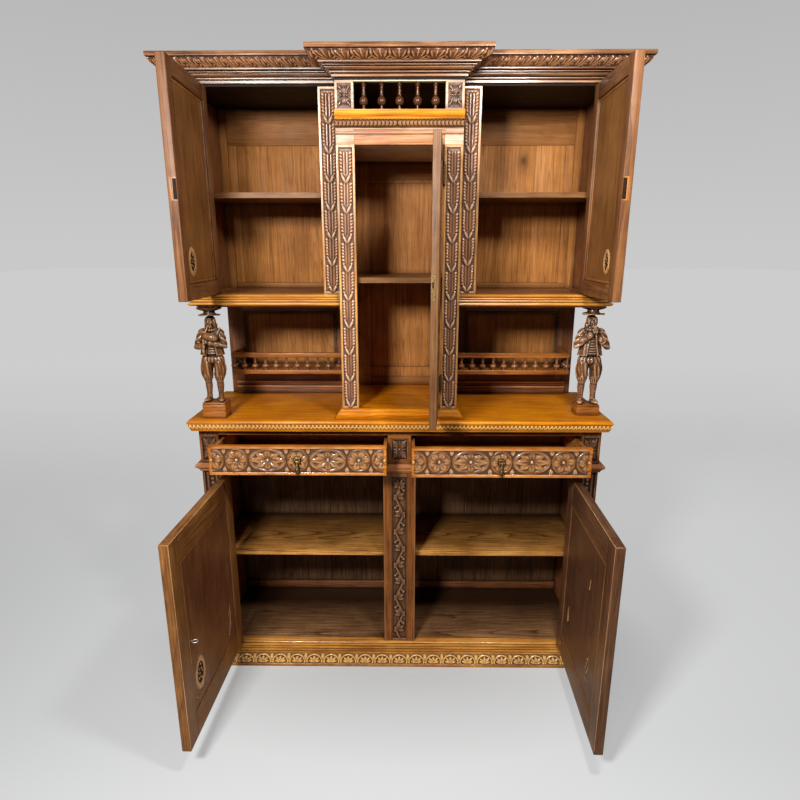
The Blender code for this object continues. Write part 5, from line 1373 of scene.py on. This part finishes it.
def strips_round(x0, x1, z0, z1, wide):
    """The four strips just inside a rectangle's edges."""
    left, right = x0 + wide, x1 - wide
    return (x0, left, z0, z1), (right, x1, z0, z1), (left, right, z0, z0 + wide), (left, right, z1 - wide, z1)


def carve_panel(ground, middle, level, wide, tall):
    """A flower in a ring, with leaf pairs above and below it and leaves in the corners."""
    flower = min(wide, tall) * 0.52
    rim(ground, middle, level, flower * 1.28, flower * 1.28, 0.01, 0.0045)
    petals(ground, middle, level, flower * 1.12, 12, 0.0045)
    petals(ground, middle, level, flower * 0.55, 6, 0.0058)
    spare = tall - flower * 1.42
    pairs = max(1, int(spare / 0.085))
    size = min(wide * 0.8, spare / pairs * 1.15)
    for end in (-1, 1):
        for k in range(pairs):
            root = level + end * (flower * 1.36 + k * spare * 0.86 / pairs)
            for angle, long in ((0, 0.85), (-46, 1.0), (46, 1.0), (-84, 0.6), (84, 0.6)):
                turn = angle if end > 0 else 180 - angle
                leaf(ground, middle, root, size * long, size * 0.36, turn, 0.005, lobes=4, blunt=1.1)
            dome(ground, middle, root, size * 0.12, size * 0.12, 0.0062)
        for side in (-1, 1):
            corner = (middle + side * (wide - 0.036), level + end * (tall - 0.036))
            for angle in (0, -38, 38):
                turn = angle - side * (45 if end < 0 else 135)
                leaf(ground, *corner, min(wide, tall) * 0.36, 0.02, turn, 0.0046, lobes=3)
            dome(ground, *corner, 0.009, 0.009, 0.0056)


for door in DOORS:
    name, look, sunk = door["name"], door["look"], door["sunk"]
    low, high, stile, rail = door["low"], door["high"], door["stile"], door["rail"]
    front, back = DOOR_FACE, DOOR_FACE + door["thick"]
    uprights = []
    for near, far in ((GAP, GAP + stile), (door["width"] - stile, door["width"])):
        a, b = span(door, near, far)
        uprights.append(plank((a, front, low), (b, back, high), 0.0022, 3))
    fit(joined(f"{name}_stiles", uprights), door, f"{look}_tall", 40, [f"{name}_frame"])
    a, b = span(door, GAP + stile + 0.0003, door["width"] - stile - 0.0003)
    crossing = [plank((a, front, z0), (b, back, z0 + rail), 0.0016, 3) for z0 in (low, high - rail)]
    fit(joined(f"{name}_rails", crossing), door, f"{look}_deep", 40)

    z0, z1 = low + rail, high - rail
    ground = field(steps(a + 0.0004, b - 0.0004, 0.0026), steps(z0 + 0.0004, z1 - 0.0004, 0.0026))
    carve_panel(ground, (a + b) / 2, (low + high) / 2, (b - a) / 2, (z1 - z0) / 2)
    ground["h"] += 0.006 * unit(depth_inside(ground, a, b, z0, z1) / 0.028)
    panel = carved_board(f"{name}_infill", ground, front + 0.0105, back - sunk)
    fit(panel, door, f"{look}_panel", 60, [f"{name}_panel"])
    beads = []
    for x0, x1, low_edge, high_edge in strips_round(a, b, z0, z1, 0.0045 + 0.6 * (sunk - 0.0016)):
        corners = (x0, back - sunk - 0.002, low_edge), (x1, back - sunk + 0.0022, high_edge)
        beads.append(plank(*corners, 0.0019, 4))
    fit(joined(f"{name}_beads", beads), door, f"{look}_bead")


# Small things on the doors: knot holes with pale worn rims, scratches, a screw eye, and the lock's
# mortises in the free edges; the holes and slots are dark plates of painted shade. The tower's door keeps
# its brass lock plate.
def fit_loose(name, pieces, door, look):
    """Joins pieces that have yet to settle, and fits them to a door."""
    made = joined(name, pieces)
    settle()
    fit(made, door, look)


def knot(name, door, near, level, wide, tall):
    """A hole where a knot fell out, with a worn rim, on a door's inner face."""
    x = -door["sign"] * near
    face = DOOR_FACE + door["thick"] - door["sunk"]
    # The hole is a dark disc laid on the face: painted shade inside the hole.
    fit_loose(f"{name}_pit", [ball((x, face - 0.0012, level), (wide, 0.0022, tall))], door, "hole_shade_oak")
    upright = (math.radians(90), 0, 0)
    ring = hoop((x, face, level), 1, 0.22, rotation=upright, major_segments=40, minor_segments=10)
    ring.scale = (wide * 1.05, tall * 1.05, 0.011)
    fit_loose(f"{name}_rim", [ring], door, "worn_oak")
    flecks = []
    for k in range(9):
        reach = 0.25 + 0.06 * k
        across, up = wide * reach * math.cos(2.4 * k), tall * reach * math.sin(2.4 * k)
        spot = (x + across, face + 0.0004, level + up)
        flecks.append(ball(spot, (wide * 0.15, 0.0014, tall * 0.09), (0, 50 * k, 0)))
    fit_loose(f"{name}_flecks", flecks, door, "worn_oak")


def scratches(name, door, *strokes):
    """Pale scratches in a door's inner face, each from a distance from the hinge and a level to another."""
    face = DOOR_FACE + door["thick"] - door["sunk"]
    made = []
    for near, level, far, end in strokes:
        start = (-door["sign"] * near, face, level)
        made += limb(start, (-door["sign"] * far, face, end), 0.0017, 0.0008)
    fit_loose(name, made, door, "worn_oak")


def slot_plate(name, door, level, tall, y0, y1, look, rise):
    """A thin plate let into a door's free edge; a dark one stands for a slot as painted shade."""
    a, b = span(door, door["width"] - 0.002, door["width"] + rise)
    plate = plank((a, y0, level - tall / 2), (b, y1, level + tall / 2), 0)
    fit(joined(name, [plate]), door, look, 35)


base_left, base_right, upper_left, upper_right, tower = DOORS
knot("upper_door_knot_left", upper_left, 0.29, 1.591, 0.028, 0.034)
knot("upper_door_knot_right", upper_right, 0.282, 1.59, 0.024, 0.03)
knot("base_door_knot", base_left, 0.466, 0.292, 0.034, 0.046)
scratches(
    "base_door_scratches_left", base_left,
    (0.16, 0.228, 0.118, 0.262), (0.158, 0.24, 0.122, 0.3), (0.15, 0.3, 0.126, 0.342),
    (0.136, 0.262, 0.128, 0.318), (0.146, 0.25, 0.14, 0.29), (0.5, 0.214, 0.44, 0.236),
    (0.47, 0.206, 0.43, 0.212), (0.52, 0.236, 0.49, 0.206),
)
scratches(
    "base_door_scratches_right", base_right,
    (0.43, 0.29, 0.452, 0.35), (0.444, 0.28, 0.462, 0.322), (0.436, 0.33, 0.46, 0.34),
    (0.42, 0.25, 0.47, 0.262), (0.16, 0.3, 0.15, 0.352), (0.15, 0.29, 0.142, 0.33),
    (0.39, 0.56, 0.396, 0.6),
)
WEAR = 0.0003
for door in (base_left, base_right):
    low, high = door["low"], door["high"]
    back = DOOR_FACE + door["thick"]
    x0, x1 = span(door, door["width"] - 0.0012, door["width"] + WEAR)
    a, b = span(door, GAP, door["width"])
    worn = []
    for start, end in (
        ((x0, back - 0.0014, low + 0.01), (x1, back + WEAR, high - 0.002)),
        ((a, back - 0.0014, high - 0.0012), (b, back + WEAR, high + WEAR)),
        ((x0, DOOR_FACE, high - 0.0014), (x1, back, high + WEAR)),
    ):
        worn.append(plank(start, end, 0.0005))
    fit(joined(f"{door['name']}_worn_edges", worn), door, "worn_oak")
for door in (upper_left, upper_right):
    name = f"{door['name']}_mortise"
    slot_plate(f"{name}_wear", door, 1.793, 0.064, 0.0125, 0.033, "up_door_oak_bead", 0.0004)
    # The mortise is a dark plate in the free edge: painted shade inside the slot.
    slot_plate(name, door, 1.793, 0.056, 0.0215, 0.0325, "hole_shade_oak", 0.0008)
slot_plate("tower_lock_plate", tower, 1.5155, 0.079, 0.0155, 0.029, "old_brass", 0.0008)
slot_plate("tower_lock_bolt", tower, 1.525, 0.018, 0.0195, 0.025, "hole_shade_oak", 0.0012)
EYE_RADIUS, EYE_THICK = 0.0085, 0.0018
eye = [hoop((0, 0, 0), EYE_RADIUS, EYE_THICK, major_segments=28, minor_segments=10)]
eye += limb((EYE_RADIUS, 0, 0), (0.024, 0, 0), EYE_THICK, EYE_THICK)
eye = joined("base_door_screw_eye", eye)
settle()
eye.data.transform(Matrix.Translation((0.527, 0.0513, 0.4504)) @ Matrix.Rotation(math.radians(-90), 4, "Z"))
fit(eye, base_left, "dull_steel")

# The framed back of the upper stage, seen in the cupboards, the tower and the niches: rails and stiles stand
# a little proud of sunk panels. The niche panels have a moulding, dark as painted shade, and a double bead,
# pale as painted highlight, runs below them.
BACK = 0.4609


def backing(name, look, rows, behind=0.0, angle=40):
    """Boards before the back: rows of two places across, two levels, how far they stand out, and easing."""
    boards = []
    for x0, x1, z0, z1, lift, *ease in rows:
        boards.append(plank((x0, BACK - lift, z0), (x1, BACK - behind, z1), *ease))
    close(joined(name, boards), look, angle=angle)


for hand, sign in SIDES:
    whole = between(sign, 0.2715, 0.6718)
    backing(f"cupboard_back_rail_{hand}", "inner_oak_long", [(*whole, 2.012, 2.1405, 0.0035)])
    boards = []
    for near, far in ((0.2715, 0.376), (0.3764, 0.524), (0.5244, 0.6398)):
        boards.append((*between(sign, near, far), 1.496, 2.0115, 0.001, 0.0004))
    backing(f"cupboard_back_boards_{hand}", "inner_oak_tall", boards)
    backing(f"cupboard_low_rail_{hand}", "inner_oak_long", [(*whole, 1.4755, 1.4955, 0.0045)])
    upright = (*between(sign, 0.64, 0.6718), 1.4958, 2.0115, 0.0036)
    backing(f"cupboard_back_stile_{hand}", "inner_oak_tall", [upright])
    uprights = []
    for near, far in ((0.6585, 0.7215), (0.2076, 0.269)):
        uprights.append((*between(sign, near, far), 1.0365, 1.4305, 0.005))
    backing(f"back_stiles_{hand}", "brown_oak_tall", uprights)
    a, b = between(sign, 0.2693, 0.6582)
    rails = [(a, b, 1.3815, 1.4305, 0.005), (a, b, 1.0365, 1.15, 0.005)]
    backing(f"niche_rails_{hand}", "brown_oak_long", rails)
    edges = []
    for inset, lift in ((0.0002, 0.008), (0.0062, 0.0045)):
        for strip in strips_round(a + inset, b - inset, 1.1502 + inset, 1.3813 - inset, 0.0058):
            edges.append((*strip, lift, 0.002, 3))
    backing(f"niche_moulding_{hand}", "shade_dark_oak_long", edges)
    a, b = between(sign, 0.2078, 0.7)
    beads = [(a, b, 1.0602, 1.069, 0.0175, 0.0036, 4), (a, b, 1.0792, 1.088, 0.0135, 0.0036, 4)]
    skirting = [(a, b, 1.0366, 1.06, 0.015, 0.002, 3), (a, b, 1.0692, 1.079, 0.011, 0.002, 3)]
    skirting.append((a, b, 1.0882, 1.094, 0.008))
    backing(f"niche_skirting_{hand}", "brown_oak_long", skirting, 0.0052, 50)
    # The niche beads are pale as painted highlight.
    backing(f"niche_beads_{hand}", "pale_highlight_oak_long", beads, 0.0052, 50)
rows = [(x0, x1, 1.0725, 1.9525, 0.004) for x0, x1 in ((-0.1866, -0.125), (0.125, 0.1866))]
backing("tower_back_stiles", "inner_oak_tall", rows)
rows = [(-0.1247, 0.1247, z0, z1, 0.004) for z0, z1 in ((1.0725, 1.107), (1.888, 1.9525))]
backing("tower_back_rails", "inner_oak_long", rows)

# The back of the lower stage: plain upright boards, nailed side by side, with a batten along the floor.
HALF = 0.7225
SEAM = 0.0008
joints = (-HALF, -0.546, -0.432, -0.319, -0.206, -0.08, 0.06, 0.178, 0.291, 0.404, 0.55, HALF)
boards = []
for k, (x0, x1) in enumerate(zip(joints[:-1], joints[1:])):
    boards.append((x0 + SEAM, x1 - SEAM, 0.0975, 0.8195, 0.003 + 0.0006 * (k % 2), 0.001))
# The lower back boards are dark as painted shade inside the lower stage.
backing("base_back_boards", "shade_dark_oak_tall", boards)
backing("base_back_batten", "brown_oak_long", [(-HALF, HALF, 0.0974, 0.132, 0.015, 0.002, 3)], 0.0037)

# The outside of the back: rough upright boards nailed over both stages, with two battens across them.
REAR = 0.476
NAIL = Vector((0.0032, 0.001, 0.0032))
for name, low, high, half, count in (("upper", 1.0365, 2.14, 0.72, 9), ("lower", 0.0985, 0.994, 0.74, 10)):
    edges = [-half]
    for k in range(1, count):
        edges.append(half * (2 * k / count - 1) + 0.01 * math.sin(5.0 * k))
    edges.append(half)
    boards = []
    for k, (x0, x1) in enumerate(zip(edges[:-1], edges[1:])):
        thick = 0.002 + 0.0008 * (k % 2)
        boards.append(plank((x0 + SEAM, REAR, low), (x1 - SEAM, REAR + thick, high), 0.0006))
    close(joined(f"{name}_rear_boards", boards), "inner_oak_tall", angle=40)
    bars, nails = [], []
    for share in (0.16, 0.84):
        level = low + share * (high - low)
        bars.append(plank((-half, REAR + 0.0029, level - 0.022), (half, REAR + 0.0058, level + 0.022)))
        for x in edges[1:-1]:
            for side in (-1, 1):
                spot = Vector((x + side * 0.012, REAR + 0.0058, level))
                nails.append(plank(spot - NAIL, spot + NAIL, 0.001))
    close(joined(f"{name}_rear_battens", bars), "inner_oak_long", angle=40)
    close(joined(f"{name}_rear_nails", nails), "dull_steel", angle=60)
